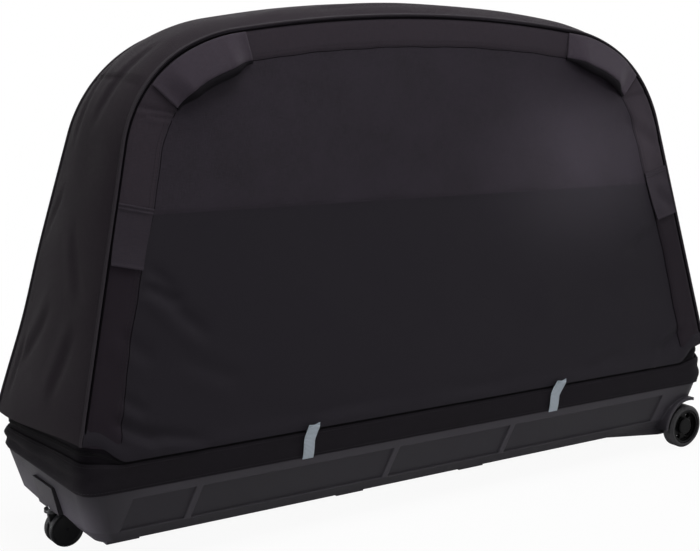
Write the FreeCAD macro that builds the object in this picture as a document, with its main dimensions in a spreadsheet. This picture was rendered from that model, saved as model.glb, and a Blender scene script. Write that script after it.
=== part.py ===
import FreeCAD, Part
import os
from math import asin, cos, degrees, pi, radians, sin, tan
import Sketcher

# Bike travel case: a moulded tub on two fixed wheels and a swivel caster, and a hooped fabric cover
# that opens about the back seam. X runs along the case towards the fixed wheels, -Y is the front,
# Z is up and the ground is z = 0.

Vector = FreeCAD.Vector
Rotation = FreeCAD.Rotation
Placement = FreeCAD.Placement

doc = FreeCAD.newDocument("bike_travel_case")
sheet = doc.addObject("Spreadsheet::Sheet", "Sizes")

# Driving dimensions in millimetres and degrees
SIZES = {
    # Tub: three rounded rectangles, top edge, knuckle and bottom
    "tub_top": 142, "tub_knuckle": 70, "tub_bottom": 47,
    "tub_half_length": 718, "tub_half_width": 177, "tub_corner": 36,
    "knuckle_inset_length": 22, "knuckle_inset_width": 13, "knuckle_corner": 34,
    "bottom_inset_length": 42, "bottom_inset_width": 29, "bottom_corner": 30,
    "tub_wall": 6, "recess_depth": 2.5, "lip_height": 16,
    "rib_width": 13, "rib_lean": 20, "rib_inset": 203, "rib_middle": -103, "rib_right": 178,
    "recess_inset": 78, "foot_length": 60, "foot_width": 44, "foot_height": 8,
    "foot_side_inset": 65, "foot_inset": 88, "foot_middle": -170, "foot_right": 118,
    # Fixed wheels and their wells
    "wheel_inset": 38, "wheel_radius": 46, "wheel_width": 30, "wheel_stand": 1, "well_gap": 14,
    "well_side_gap": 4, "well_wall": 4, "fender_width": 6, "fender_stand": 3,
    "rim_radius": 37, "rim_band": 5, "hub_radius": 17, "web_thickness": 9, "window_radius": 5.6,
    "window_circle": 24.5, "window_count": 6, "tyre_shoulder": 5, "bearing_radius": 11,
    "bearing_width": 7, "axle_radius": 6, "axle_seat": 34, "axle_slope": 170,
    "axle_block_back": 50, "axle_block_front": 10, "axle_block_bottom": 28,
    "cap_radius": 18, "cap_thickness": 2.5, "running_gap": 0.05, "press_gap": 0.02,
    # Swivel caster and its housing
    "stem_inset": 20, "caster_trail": 20, "caster_radius": 31, "disc_width": 11, "web_half": 4,
    "disc_gap": 0.5, "bay_half_width": 42, "bay_depth": 58, "bay_top": 120, "housing_bottom": 70,
    "nose_top_inset": 0.5, "nose_bottom_inset": 13, "swivel_room": 6, "stem_radius": 5,
    "bush_wall": 3, "stem_length": 38, "fork_plate": 6, "fork_plate_radius": 15, "caster_pin": 3,
    "web_lap": 1, "web_reach": 10.5, "boss_half": 9, "disc_edge": 2, "disc_rim": 4.5, "disc_dish": 1.5,
    "seat_gap": 0.3,
    # Seam between the tub's skirt and the cover
    "seam_side": 190, "seam_end": 226, "step_inner_inset": 78, "step_outer_inset": 22, "seam_gap": 2,
    "skirt_overhang": 1, "skirt_thickness": 4, "tape_width": 12, "tape_thickness": 1.5,
    "tape_half_gap": 0.5, "lower_tape_inset": 3.3, "upper_tape_inset": 4.6,
    "upper_tape_end_inset": 8,
    # Cover: dome outline at the piping, crowned gusset, leaning panels
    "cover_stand": 1, "panel_lean_angle": 7.9, "panel_thickness": 4, "dome_height": 728,
    "dome_reach": 11, "dome_lean_angle": 13.2, "top_radius": 2760, "shoulder_radius": 320,
    "corner_radius": 235, "shoulder_reach": 342, "crown_rise": 20, "crown_lean_angle": 20, "crown_strips": 4,
    "crown_foot_inset": 8.5, "piping_radius": 3, "tube_sides": 8, "piping_gap": 0.2, "band_width": 64,
    "band_thickness": 2.5, "band_margin": 1, "handle_gap": 13, "handle_thickness": 5,
    "handle_margin": 4, "handle_foot": 26, "handle_start_angle": 8.6, "handle_end_angle": 49,
    # Hoops inside the cover
    "hoop_radius": 6, "hoop_gap": 3, "ferrule_wall": 2, "ferrule_length": 90, "leg_bottom": 55,
    "leg_length": 160, "spreader_radius": 5, "spreader_place": 260,
    # Hinge strip, loops and zipper sliders
    "strip_inset": 118, "strip_height": 12, "strip_thickness": 2,
    "loop_place": 293, "loop_width": 22, "loop_bottom": 144, "loop_kink": 177, "loop_top": 204,
    "loop_layer": 2, "loop_slit": 2.6, "slider_pitch": 26, "slider_width": 12, "slider_low": 10,
    "slider_high": 8, "slider_body": 4.2, "slider_ear": 2, "pull_width": 7, "pull_length": 30,
    "pull_thickness": 2, "pull_pin": 1, "pull_knuckle": 1.9,
    # Rail and bike mounts inside the tub
    "rail_inset": 178, "rail_width": 60, "rail_height": 28, "rail_wall": 3, "rail_slot": 12,
    "screw_radius": 2.5, "screw_head": 5, "screw_head_height": 3, "screw_pitch": 240,
    "screw_inset": 120, "pad_inset": 122, "pad_thickness": 5, "pad_inner": 36, "pad_side_inset": 41,
    "saddle_length": 96, "saddle_height": 12, "saddle_width": 64, "tee_width": 40, "tee_height": 8,
    "slide_gap": 0.3, "upright_width": 56, "upright_foot": 40, "upright_top": 26, "axle_height": 250,
    "head_radius": 15, "fork_inset": 160, "fork_width": 110, "fork_bore": 7.55, "rear_inset": 210,
    "rear_width": 142, "rear_bore": 6.05, "knob_offset": 38, "knob_radius": 15, "knob_height": 14,
    "knob_stem": 4, "knob_lobes": 6, "knob_notch": 4,
}
for row, (name, size) in enumerate(SIZES.items(), start=1):
    sheet.set(f"A{row}", name)
    sheet.set(f"B{row}", str(size))
    sheet.setAlias(f"B{row}", name)
doc.recompute()

parts = []


def value(text):
    """Evaluates a formula of sheet sizes."""
    return float(sheet.evalExpression(formula(text)))


def formula(text):
    """Writes a formula of size names as an expression on the sheet."""
    words = []
    for word in str(text).replace("(", "( ").replace(")", " )").split():
        words.append(f"Sizes.{word}" if word in SIZES else word)
    return " ".join(words)


def bind(thing, **properties):
    """Binds properties of an object to formulas of sheet sizes."""
    for name, text in properties.items():
        thing.setExpression(name.replace("__", "."), formula(text))


def keep(thing, label):
    """Registers a finished piece under its file name."""
    thing.Label = label
    parts.append(thing)
    return thing


# Sketch helpers

def new_body(name):
    return doc.addObject("PartDesign::Body", name)


def new_sketch(body, name, role="XY_Plane", offset="0"):
    sketch = body.newObject("Sketcher::SketchObject", name)
    plane = next(f for f in body.Origin.OriginFeatures if f.Role == role)
    sketch.AttachmentSupport = [(plane, "")]
    sketch.MapMode = "FlatFace"
    sketch.setExpression("AttachmentOffset.Base.z", formula(offset))
    return sketch


def pin_point(sketch, line, end, across, up):
    """Fixes one end of a line at a formula in each direction."""
    for kind, axis, text in (("DistanceX", -2, across), ("DistanceY", -1, up)):
        if str(text) == "0":
            sketch.addConstraint(Sketcher.Constraint("PointOnObject", line, end, axis))
            continue
        index = sketch.addConstraint(Sketcher.Constraint(kind, -1, 1, line, end, value(text)))
        sketch.setExpression(f"Constraints[{index}]", formula(text))


def polygon(sketch, corners):
    """Adds a closed outline of straight lines through corners given as formulas."""
    points = [Vector(value(across), value(up), 0) for across, up in corners]
    first = sketch.GeometryCount
    count = len(points)
    for i in range(count):
        sketch.addGeometry(Part.LineSegment(points[i], points[(i + 1) % count]), False)
    for i in range(count):
        following = first + (i + 1) % count
        sketch.addConstraint(Sketcher.Constraint("Coincident", first + i, 2, following, 1))
    for i, (across, up) in enumerate(corners):
        pin_point(sketch, first + i, 1, across, up)


def circle(sketch, across, up, radius):
    shape = Part.Circle(Vector(value(across), value(up), 0), Vector(0, 0, 1), value(radius))
    index = sketch.addGeometry(shape, False)
    pin_point(sketch, index, 3, across, up)
    size = sketch.addConstraint(Sketcher.Constraint("Radius", index, value(radius)))
    sketch.setExpression(f"Constraints[{size}]", formula(radius))


def rounded_rectangle(sketch, half_x, half_y, corner):
    """Adds a centred rectangle with round corners."""
    far_x, far_y, round_by = value(half_x), value(half_y), value(corner)
    x, y = far_x - round_by, far_y - round_by
    first = sketch.GeometryCount
    ends = [((-x, -far_y), (x, -far_y)), ((far_x, -y), (far_x, y)),
            ((x, far_y), (-x, far_y)), ((-far_x, y), (-far_x, -y))]
    centres = [(x, -y), (x, y), (-x, y), (-x, -y)]
    for side in range(4):
        (ax, ay), (bx, by) = ends[side]
        sketch.addGeometry(Part.LineSegment(Vector(ax, ay, 0), Vector(bx, by, 0)), False)
        whole = Part.Circle(Vector(*centres[side], 0), Vector(0, 0, 1), round_by)
        start = radians(90 * side - 90)
        sketch.addGeometry(Part.ArcOfCircle(whole, start, start + radians(90)), False)
    for side in range(4):
        line, arc = first + 2 * side, first + 2 * side + 1
        after = first + (2 * side + 2) % 8
        sketch.addConstraint(Sketcher.Constraint("Tangent", line, 2, arc, 1))
        sketch.addConstraint(Sketcher.Constraint("Tangent", arc, 2, after, 1))
        direction = "Horizontal" if side % 2 == 0 else "Vertical"
        sketch.addConstraint(Sketcher.Constraint(direction, line))
        if side:
            sketch.addConstraint(Sketcher.Constraint("Equal", first + 1, arc))
    size = sketch.addConstraint(Sketcher.Constraint("Radius", first + 1, round_by))
    sketch.setExpression(f"Constraints[{size}]", formula(corner))
    sides = ((0, "DistanceY", f"-1 * ({half_y})"), (1, "DistanceX", half_x),
             (2, "DistanceY", half_y), (3, "DistanceX", f"-1 * ({half_x})"))
    for side, kind, text in sides:
        index = sketch.addConstraint(Sketcher.Constraint(kind, -1, 1, first + 2 * side, 1, value(text)))
        sketch.setExpression(f"Constraints[{index}]", formula(text))


def pad(body, sketch, length, both_ways=False, reverse=False):
    feature = body.newObject("PartDesign::Pad", "pad")
    feature.Profile = sketch
    feature.setExpression("Length", formula(length))
    feature.SideType = "Symmetric" if both_ways else "One side"
    feature.Reversed = reverse
    return feature


def pocket(body, sketch):
    """Cuts a sketch right through, both ways."""
    feature = body.newObject("PartDesign::Pocket", "pocket")
    feature.Profile = sketch
    feature.Type = "ThroughAll"
    feature.Midplane = True
    return feature


def revolve(body, sketch):
    feature = body.newObject("PartDesign::Revolution", "turned")
    feature.Profile = sketch
    feature.ReferenceAxis = (sketch, ["V_Axis"])
    feature.Angle = 360
    return feature


def place(thing, x="0", y="0", z="0", turn=None):
    """Puts a piece at formulas, turned by a fixed rotation."""
    if turn:
        thing.Placement = Placement(Vector(0, 0, 0), turn)
    bind(thing, Placement__Base__x=x, Placement__Base__y=y, Placement__Base__z=z)
    return thing


def box(name, x, y, z, length, width, height):
    thing = doc.addObject("Part::Box", name)
    bind(thing, Length=length, Width=width, Height=height)
    return place(thing, x, y, z)


def cylinder(name, radius, length, x, y, z, turn=None):
    thing = doc.addObject("Part::Cylinder", name)
    bind(thing, Radius=radius, Height=length)
    return place(thing, x, y, z, turn)


def cut(name, base, tool):
    thing = doc.addObject("Part::Cut", name)
    thing.Base, thing.Tool = base, tool
    return thing


def common(name, base, tool):
    thing = doc.addObject("Part::Common", name)
    thing.Base, thing.Tool = base, tool
    return thing


def fuse(name, *things):
    thing = doc.addObject("Part::MultiFuse", name)
    thing.Shapes = list(things)
    return thing


def group(name, *things):
    """Joins identical pieces that don't touch into one node."""
    thing = doc.addObject("Part::Compound", name)
    thing.Links = list(things)
    return thing


ALONG_Y = Rotation(Vector(1, 0, 0), -90)
TO_FRONT = Rotation(Vector(1, 0, 0), 90)
TO_BACK = Rotation(Vector(1, 0, 0), -90)
SIDES = (("front", -1, TO_FRONT), ("back", 1, TO_BACK))
FAR = "2000"
wheel_place = "( tub_half_length - wheel_inset )"
wheel_face = "( tub_half_width + wheel_stand )"
stem_place = "( stem_inset - tub_half_length )"
bay_end = "( bay_depth - tub_half_length )"
step_inner = "( tub_half_length - step_inner_inset )"
step_outer = "( tub_half_length - step_outer_inset )"
recess_end = "( tub_half_length - recess_inset )"
dome_half_length = "( tub_half_length + dome_reach )"
rail_half_length = "( tub_half_length - rail_inset )"
cover_half_width = "( tub_half_width + cover_stand )"


# Base tub

def hull(name, inset, open_top):
    """A flared hull lofted through three rounded rectangles, drawn in by an inset."""
    body = new_body(name)
    rings = (("tub_bottom", "bottom_inset_length", "bottom_inset_width", "bottom_corner", inset),
             ("tub_knuckle", "knuckle_inset_length", "knuckle_inset_width", "knuckle_corner", inset),
             ("tub_top", "0", "0", "tub_corner", open_top))
    sketches = []
    for level, inset_x, inset_y, corner, lift in rings:
        sketch = new_sketch(body, f"{name}_{level}", "XY_Plane", f"{level} + {lift}")
        half_x = f"tub_half_length - {inset_x} - {inset}"
        half_y = f"tub_half_width - {inset_y} - {inset}"
        rounded_rectangle(sketch, half_x, half_y, f"{corner} - {inset}")
        sketches.append(sketch)
    loft = body.newObject("PartDesign::AdditiveLoft", f"{name}_loft")
    loft.Profile = sketches[0]
    loft.Sections = sketches[1:]
    loft.Ruled = True
    return body


def recess_prisms():
    """Slanted blocks that mark the recessed panels between the ribs of the tub's sides."""
    prisms = []
    ribs = ["rib_inset - tub_half_length", "rib_middle", "rib_right"]
    lefts = [f"-1 * {recess_end}"] + [f"{rib} + rib_width / 2" for rib in ribs]
    rights = [f"{rib} - rib_width / 2" for rib in ribs] + [f"{recess_end} - wheel_radius"]
    for number, (left, right) in enumerate(zip(lefts, rights)):
        body = new_body(f"recess_{number}")
        sketch = new_sketch(body, f"recess_outline_{number}", "XZ_Plane")
        low, high = "tub_knuckle", "tub_top - lip_height"
        half = "rib_lean / 2"
        polygon(sketch, [(f"{left} - {half}", low), (f"{right} - {half}", low),
                         (f"{right} + {half}", high), (f"{left} + {half}", high)])
        pad(body, sketch, FAR, both_ways=True)
        prisms.append(body)
    return fuse("recess_prisms", *prisms)


def well_tools(grow):
    """Wheel wells at both sides and the caster's bay, grown by a wall thickness."""
    tools = []
    radius = f"wheel_radius + well_gap + {grow}"
    inner = f"{wheel_face} - wheel_width - well_side_gap - {grow}"
    for side, sign, turn in SIDES:
        tools.append(cylinder(f"well_{side}", radius, FAR, wheel_place, f"{sign} * ({inner})",
                              "wheel_radius", turn))
    bay = box("caster_bay", f"{bay_end} + {grow} - {FAR}", f"-1 * bay_half_width - {grow}", "-1 * tub_top",
              FAR, f"2 * (bay_half_width + {grow})", f"bay_top + {grow} + tub_top")
    swivel = cylinder("swivel_room", f"caster_trail + caster_radius + swivel_room + {grow}",
                      f"housing_bottom + {grow} + tub_top", stem_place, "0", "-1 * tub_top")
    return fuse("wells", *tools, bay, swivel)


def fender_lips():
    """Raised rims round the wheel wells, on the quarter that faces the middle of the tub."""
    lips = []
    for side, sign, turn in SIDES:
        low = f"{sign} * ({wheel_face} - wheel_width)"
        reach = "wheel_width + fender_stand"
        outer = cylinder(f"lip_out_{side}", "wheel_radius + well_gap + fender_width", reach,
                         wheel_place, low, "wheel_radius", turn)
        inner = cylinder(f"lip_in_{side}", "wheel_radius + well_gap", FAR,
                         wheel_place, f"{sign} * 0", "wheel_radius", turn)
        rim = cut(f"lip_rim_{side}", outer, inner)
        corner = box(f"lip_corner_{side}", f"{wheel_place} - {FAR}", f"-1 * {FAR} / 2", "tub_bottom",
                     f"{FAR} + well_gap", FAR, FAR)
        lips.append(common(f"lip_{side}", rim, corner))
    return lips


def feet():
    pads = []
    for side, sign, turn in SIDES:
        across = f"{sign} * (tub_half_width - foot_side_inset)"
        for number, spot in enumerate(("foot_inset - tub_half_length", "foot_middle", "foot_right")):
            pads.append(box(f"foot_{number}_{side}", f"{spot} - foot_length / 2",
                            f"{across} - foot_width / 2", "tub_bottom - foot_height",
                            "foot_length", "foot_width", "foot_height + tub_wall / 2"))
    return pads


well_inner = f"{wheel_face} - wheel_width - well_side_gap"


def axle_block():
    """The underside slopes down at the wheel end to a block that holds both stub axles."""
    body = new_body("axle_block")
    sketch = new_sketch(body, "axle_block_outline", "XZ_Plane")
    top = "tub_bottom + tub_wall"
    back, front = f"{wheel_place} - axle_block_back", f"{wheel_place} + axle_block_front"
    polygon(sketch, [(f"{back} - axle_slope", "tub_bottom"), (back, "axle_block_bottom"),
                     (front, "axle_block_bottom"), (front, top), (f"{back} - axle_slope", top)])
    pad(body, sketch, f"2 * ({well_inner})", both_ways=True)
    return body


screw_outer = f"({rail_half_length} - screw_inset)"
screw_inner = f"({rail_half_length} - screw_inset - screw_pitch)"
screw_spots = [f"-1 * {screw_outer}", f"-1 * {screw_inner}", screw_inner, screw_outer]


def base_tub():
    outside = hull("hull_outside", "0", "0")
    sunk = hull("hull_sunk", "recess_depth", "recess_depth")
    inside = hull("hull_inside", "tub_wall", "tub_wall")
    skin = cut("hull_skin", outside, sunk)
    recesses = common("recesses", skin, recess_prisms())
    outer = cut("hull_panelled", cut("hull_recessed", outside, recesses), well_tools("0"))
    inner = cut("hull_room", inside, well_tools("well_wall"))
    shell = cut("hull_shell", outer, inner)
    whole = fuse("hull_with_lips", shell, *fender_lips(), *feet(), axle_block())
    holes = []
    for side, sign, turn in SIDES:
        holes.append(cylinder(f"axle_hole_{side}", "axle_radius + press_gap", wheel_face, wheel_place,
                              f"{sign} * ({well_inner} - axle_seat)", "wheel_radius", turn))
    for number, spot in enumerate(screw_spots):
        holes.append(cylinder(f"screw_hole_{number}", "screw_radius + press_gap", "tub_top", spot,
                              "0", "0"))
    return cut("base_tub", whole, fuse("tub_holes", *holes))


keep(base_tub(), "base_tub")


# Fixed wheels, turned about their own Z axis and then laid on their sides, outer face outwards

def wheel_pieces(side, sign, turn):
    face = "wheel_width"

    tyre = new_body(f"tyre_{side}")
    sketch = new_sketch(tyre, "tyre_profile", "XZ_Plane")
    shoulder = "wheel_radius - tyre_shoulder"
    polygon(sketch, [("rim_radius", "0"), (shoulder, "0"), ("wheel_radius", "tyre_shoulder"),
                     ("wheel_radius", f"{face} - tyre_shoulder"), (shoulder, face), ("rim_radius", face)])
    revolve(tyre, sketch)

    rim = new_body(f"rim_{side}")
    sketch = new_sketch(rim, "rim_profile", "XZ_Plane")
    inner_band = "rim_radius - press_gap - rim_band"
    outer_band = "rim_radius - press_gap"
    web_low = f"({face} - web_thickness) / 2"
    web_high = f"({face} + web_thickness) / 2"
    bore = "bearing_radius + press_gap"
    hub_top = f"{face} - cap_thickness - tyre_shoulder / 2"
    polygon(sketch, [(bore, "cap_thickness"), ("hub_radius", "cap_thickness"), ("hub_radius", web_low),
                     (inner_band, web_low), (inner_band, "cap_thickness"), (outer_band, "cap_thickness"),
                     (outer_band, f"{face} - cap_thickness"), (inner_band, f"{face} - cap_thickness"),
                     (inner_band, web_high), ("hub_radius", web_high), ("hub_radius", hub_top),
                     (bore, hub_top)])
    revolve(rim, sketch)
    doc.recompute()
    window = new_sketch(rim, "window", "XY_Plane")
    circle(window, "window_circle", "0", "window_radius")
    opening = pocket(rim, window)
    doc.recompute()
    ring = rim.newObject("PartDesign::PolarPattern", "windows")
    ring.Originals = [opening]
    ring.Axis = (window, ["N_Axis"])
    ring.Angle = 360
    ring.setExpression("Occurrences", formula("window_count"))
    rim.Tip = ring

    bearings = []
    for end, level in (("inner", "cap_thickness"), ("outer", f"{hub_top} - bearing_width")):
        bearing = new_body(f"bearing_{end}_{side}")
        sketch = new_sketch(bearing, "bearing_profile", "XZ_Plane")
        polygon(sketch, [("axle_radius + running_gap", level), ("bearing_radius", level),
                         ("bearing_radius", f"{level} + bearing_width"),
                         ("axle_radius + running_gap", f"{level} + bearing_width")])
        revolve(bearing, sketch)
        bearings.append(bearing)

    cap = new_body(f"cap_{side}")
    sketch = new_sketch(cap, "cap_profile", "XZ_Plane")
    low, high = hub_top, f"{hub_top} + cap_thickness"
    polygon(sketch, [("0", low), ("cap_radius", low), ("cap_radius", f"{low} + cap_thickness / 2"),
                     ("cap_radius - cap_thickness", high), ("0", high)])
    revolve(cap, sketch)

    start = f"{sign} * ({wheel_face} - wheel_width)"
    for piece in (tyre, rim, cap, *bearings):
        place(piece, wheel_place, start, "wheel_radius", turn)
    keep(tyre, f"wheel_tyre_{side}")
    keep(rim, f"wheel_rim_{side}")
    keep(cap, f"wheel_cap_{side}")
    keep(group(f"bearings_{side}", *bearings), f"wheel_bearings_{side}")


def axle(side, sign, turn):
    """Stub axle pressed into the axle block, with a shoulder between the block and the wheel."""
    body = new_body(f"axle_{side}")
    sketch = new_sketch(body, "axle_profile", "XZ_Plane")
    well = "-1 * well_side_gap"
    inner = f"{well} - axle_seat"
    end = "wheel_width - cap_thickness - tyre_shoulder / 2 - seat_gap"
    shoulder = "cap_thickness - seat_gap"
    polygon(sketch, [("0", inner), ("axle_radius", inner), ("axle_radius", well),
                     ("axle_radius + bush_wall", well), ("axle_radius + bush_wall", shoulder),
                     ("axle_radius", shoulder), ("axle_radius", end), ("0", end)])
    revolve(body, sketch)
    place(body, wheel_place, f"{sign} * ({wheel_face} - wheel_width)", "wheel_radius", turn)
    keep(body, f"wheel_axle_{side}")


for side, sign, turn in SIDES:
    wheel_pieces(side, sign, turn)
    axle(side, sign, turn)


# Caster housing and swivel caster

def caster_housing():
    body = new_body("housing")
    sketch = new_sketch(body, "housing_outline", "XZ_Plane")
    inner, top = f"{bay_end} - press_gap", "bay_top - press_gap"
    polygon(sketch, [(inner, "housing_bottom"), ("nose_bottom_inset - tub_half_length", "housing_bottom"),
                     ("nose_top_inset - tub_half_length", top), (inner, top)])
    pad(body, sketch, "2 * (bay_half_width - press_gap)", both_ways=True)
    doc.recompute()
    bore = new_sketch(body, "bush_bore", "XY_Plane")
    circle(bore, stem_place, "0", "stem_radius + running_gap + bush_wall + press_gap")
    hole = pocket(body, bore)
    hole.Midplane = False
    hole.Type = "Length"
    hole.Reversed = True
    bind(hole, Length="housing_bottom + stem_length")
    keep(body, "caster_housing")


def caster_bush():
    body = new_body("bush")
    sketch = new_sketch(body, "bush_ring", "XY_Plane", "housing_bottom")
    circle(sketch, stem_place, "0", "stem_radius + running_gap + bush_wall")
    circle(sketch, stem_place, "0", "stem_radius + running_gap")
    pad(body, sketch, "stem_length")
    keep(body, "caster_bush")


def caster_fork():
    top = "housing_bottom - seat_gap"
    low = f"{top} - fork_plate"
    axle_x = f"{stem_place} + caster_trail"
    plate = cylinder("fork_plate", "fork_plate_radius", "fork_plate", stem_place, "0", low)
    web = new_body("fork_web")
    sketch = new_sketch(web, "web_outline", "XZ_Plane")
    lap = f"{low} + web_lap"
    bevel = "boss_half / 2"
    polygon(sketch, [(f"{stem_place} - web_reach", lap), (f"{axle_x} - {bevel}", lap),
                     (f"{axle_x} + boss_half", f"caster_radius + {bevel}"),
                     (f"{axle_x} + boss_half", f"caster_radius - {bevel}"),
                     (f"{axle_x} + {bevel}", "caster_radius - boss_half"),
                     (f"{axle_x} - {bevel}", "caster_radius - boss_half"),
                     (f"{stem_place} - web_reach / 2", f"caster_radius + {bevel}")])
    pad(web, sketch, "2 * web_half", both_ways=True)
    solid = fuse("fork_solid", plate, web)
    pin_room = cylinder("fork_pin_room", "caster_pin + running_gap", "4 * web_half", axle_x,
                        "-2 * web_half", "caster_radius", ALONG_Y)
    stem_room = cylinder("fork_stem_room", "stem_radius + press_gap", "fork_plate", stem_place, "0", low)
    keep(cut("fork", solid, fuse("fork_rooms", pin_room, stem_room)), "caster_fork")
    stem = cylinder("stem", "stem_radius", "fork_plate + stem_length - seat_gap", stem_place, "0", low)
    keep(stem, "caster_stem")


def caster_wheels():
    axle_x = f"{stem_place} + caster_trail"
    outer = "web_half + disc_gap + disc_width"
    pin = cylinder("pin", "caster_pin", f"2 * ({outer} - disc_gap)", axle_x, f"-1 * ({outer}) + disc_gap",
                   "caster_radius", ALONG_Y)
    keep(pin, "caster_axle")
    for side, sign, turn in SIDES:
        body = new_body(f"disc_{side}")
        sketch = new_sketch(body, "disc_profile", "XZ_Plane")
        edge = "caster_radius - disc_edge"
        bore = "caster_pin + press_gap"
        dish = "disc_width - disc_dish"
        polygon(sketch, [(bore, "0"), (edge, "0"), ("caster_radius", "disc_edge"),
                         ("caster_radius", "disc_width - disc_edge"), (edge, "disc_width"),
                         ("caster_radius - disc_rim", "disc_width"),
                         ("caster_radius - disc_rim - disc_dish", dish), (bore, dish)])
        revolve(body, sketch)
        place(body, axle_x, f"{sign} * (web_half + disc_gap)", "caster_radius", turn)
        keep(body, f"caster_disc_{side}")


caster_housing()
caster_bush()
caster_fork()
caster_wheels()


# Seam: the skirt, cover and zipper meet along a line that steps up towards both ends

def seam_block(name, lift):
    """Everything below the seam line, raised by a lift."""
    body = new_body(name)
    sketch = new_sketch(body, f"{name}_outline", "XZ_Plane")
    side, end = f"seam_side + {lift}", f"seam_end + {lift}"
    polygon(sketch, [(f"-1 * {FAR}", f"-1 * {FAR}"), (FAR, f"-1 * {FAR}"), (FAR, end), (step_outer, end),
                     (step_inner, side), (f"-1 * {step_inner}", side), (f"-1 * {step_outer}", end),
                     (f"-1 * {FAR}", end)])
    pad(body, sketch, FAR, both_ways=True)
    return body


def band_ring(name, low, high, end_inset, side_inset, thickness):
    """A flat-sided ring that follows the tub's top edge, drawn in at the ends and sides."""
    body = new_body(name)
    sketch = new_sketch(body, f"{name}_outline", "XY_Plane", low)
    for wall in ("0", thickness):
        rounded_rectangle(sketch, f"tub_half_length - ({end_inset}) - {wall}",
                          f"tub_half_width - ({side_inset}) - {wall}",
                          f"tub_corner - ({side_inset}) - {wall}")
    pad(body, sketch, f"{high} - {low}")
    return body


below_seam = seam_block("below_seam", "0")
below_cover = seam_block("below_cover", "seam_gap")
skirt_ring = band_ring("skirt_ring", "tub_top", "seam_end + tape_width", "-1 * skirt_overhang",
                       "-1 * skirt_overhang", "skirt_thickness")
keep(common("skirt", skirt_ring, below_seam), "lower_skirt")


def leaning_block(name, low, high, end_inset, side_inset):
    """A block that follows the tub's top edge, with its long sides leaning in as the panels do."""
    slope = tan(radians(value("panel_lean_angle")))
    body = new_body(name)
    sketches = []
    for level in (low, high):
        drawn_in = f"({side_inset}) + ({level} - seam_side) * {slope}"
        sketch = new_sketch(body, f"{name}_section_{len(sketches)}", "XY_Plane", level)
        rounded_rectangle(sketch, f"tub_half_length - ({end_inset})", f"tub_half_width - ({drawn_in})",
                          f"tub_corner - ({drawn_in})")
        sketches.append(sketch)
    loft = body.newObject("PartDesign::AdditiveLoft", f"{name}_loft")
    loft.Profile = sketches[0]
    loft.Sections = sketches[1:]
    loft.Ruled = True
    return body


def leaning_ring(name, low, high, end_inset, side_inset, thickness):
    """The wall between two leaning blocks."""
    outside = leaning_block(f"{name}_outside", low, high, end_inset, side_inset)
    inside = leaning_block(f"{name}_inside", low, high, f"{end_inset} + {thickness}",
                           f"{side_inset} + {thickness}")
    return cut(name, outside, inside)


def zip_tape(name, ring, low, high):
    """One tape of the main zipper, a thin band inside the seam between two heights from it."""
    under = seam_block(f"{name}_top", high)
    over = seam_block(f"{name}_low", low)
    keep(cut(f"{name}_form", common(f"{name}_band", ring, under), over), name)


tape_top = "seam_end + 2 * tape_width"
tape_edge = "seam_gap / 2 - tape_half_gap"
zip_tape("zip_tape_lower", band_ring("lower_tape_ring", "tub_top", tape_top, "lower_tape_inset",
                                     "lower_tape_inset", "tape_thickness"),
         f"{tape_edge} - tape_width", tape_edge)
tape_edge = "seam_gap / 2 + tape_half_gap"
zip_tape("zip_tape_upper", leaning_ring("upper_tape_ring", "tub_top", tape_top, "upper_tape_end_inset",
                                        "upper_tape_inset", "tape_thickness"),
         tape_edge, f"{tape_edge} + tape_width")


# Cover: outlines of arcs and lines in the plane of a panel, where up is measured from the side seam

STRAIGHT = 0.01


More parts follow.
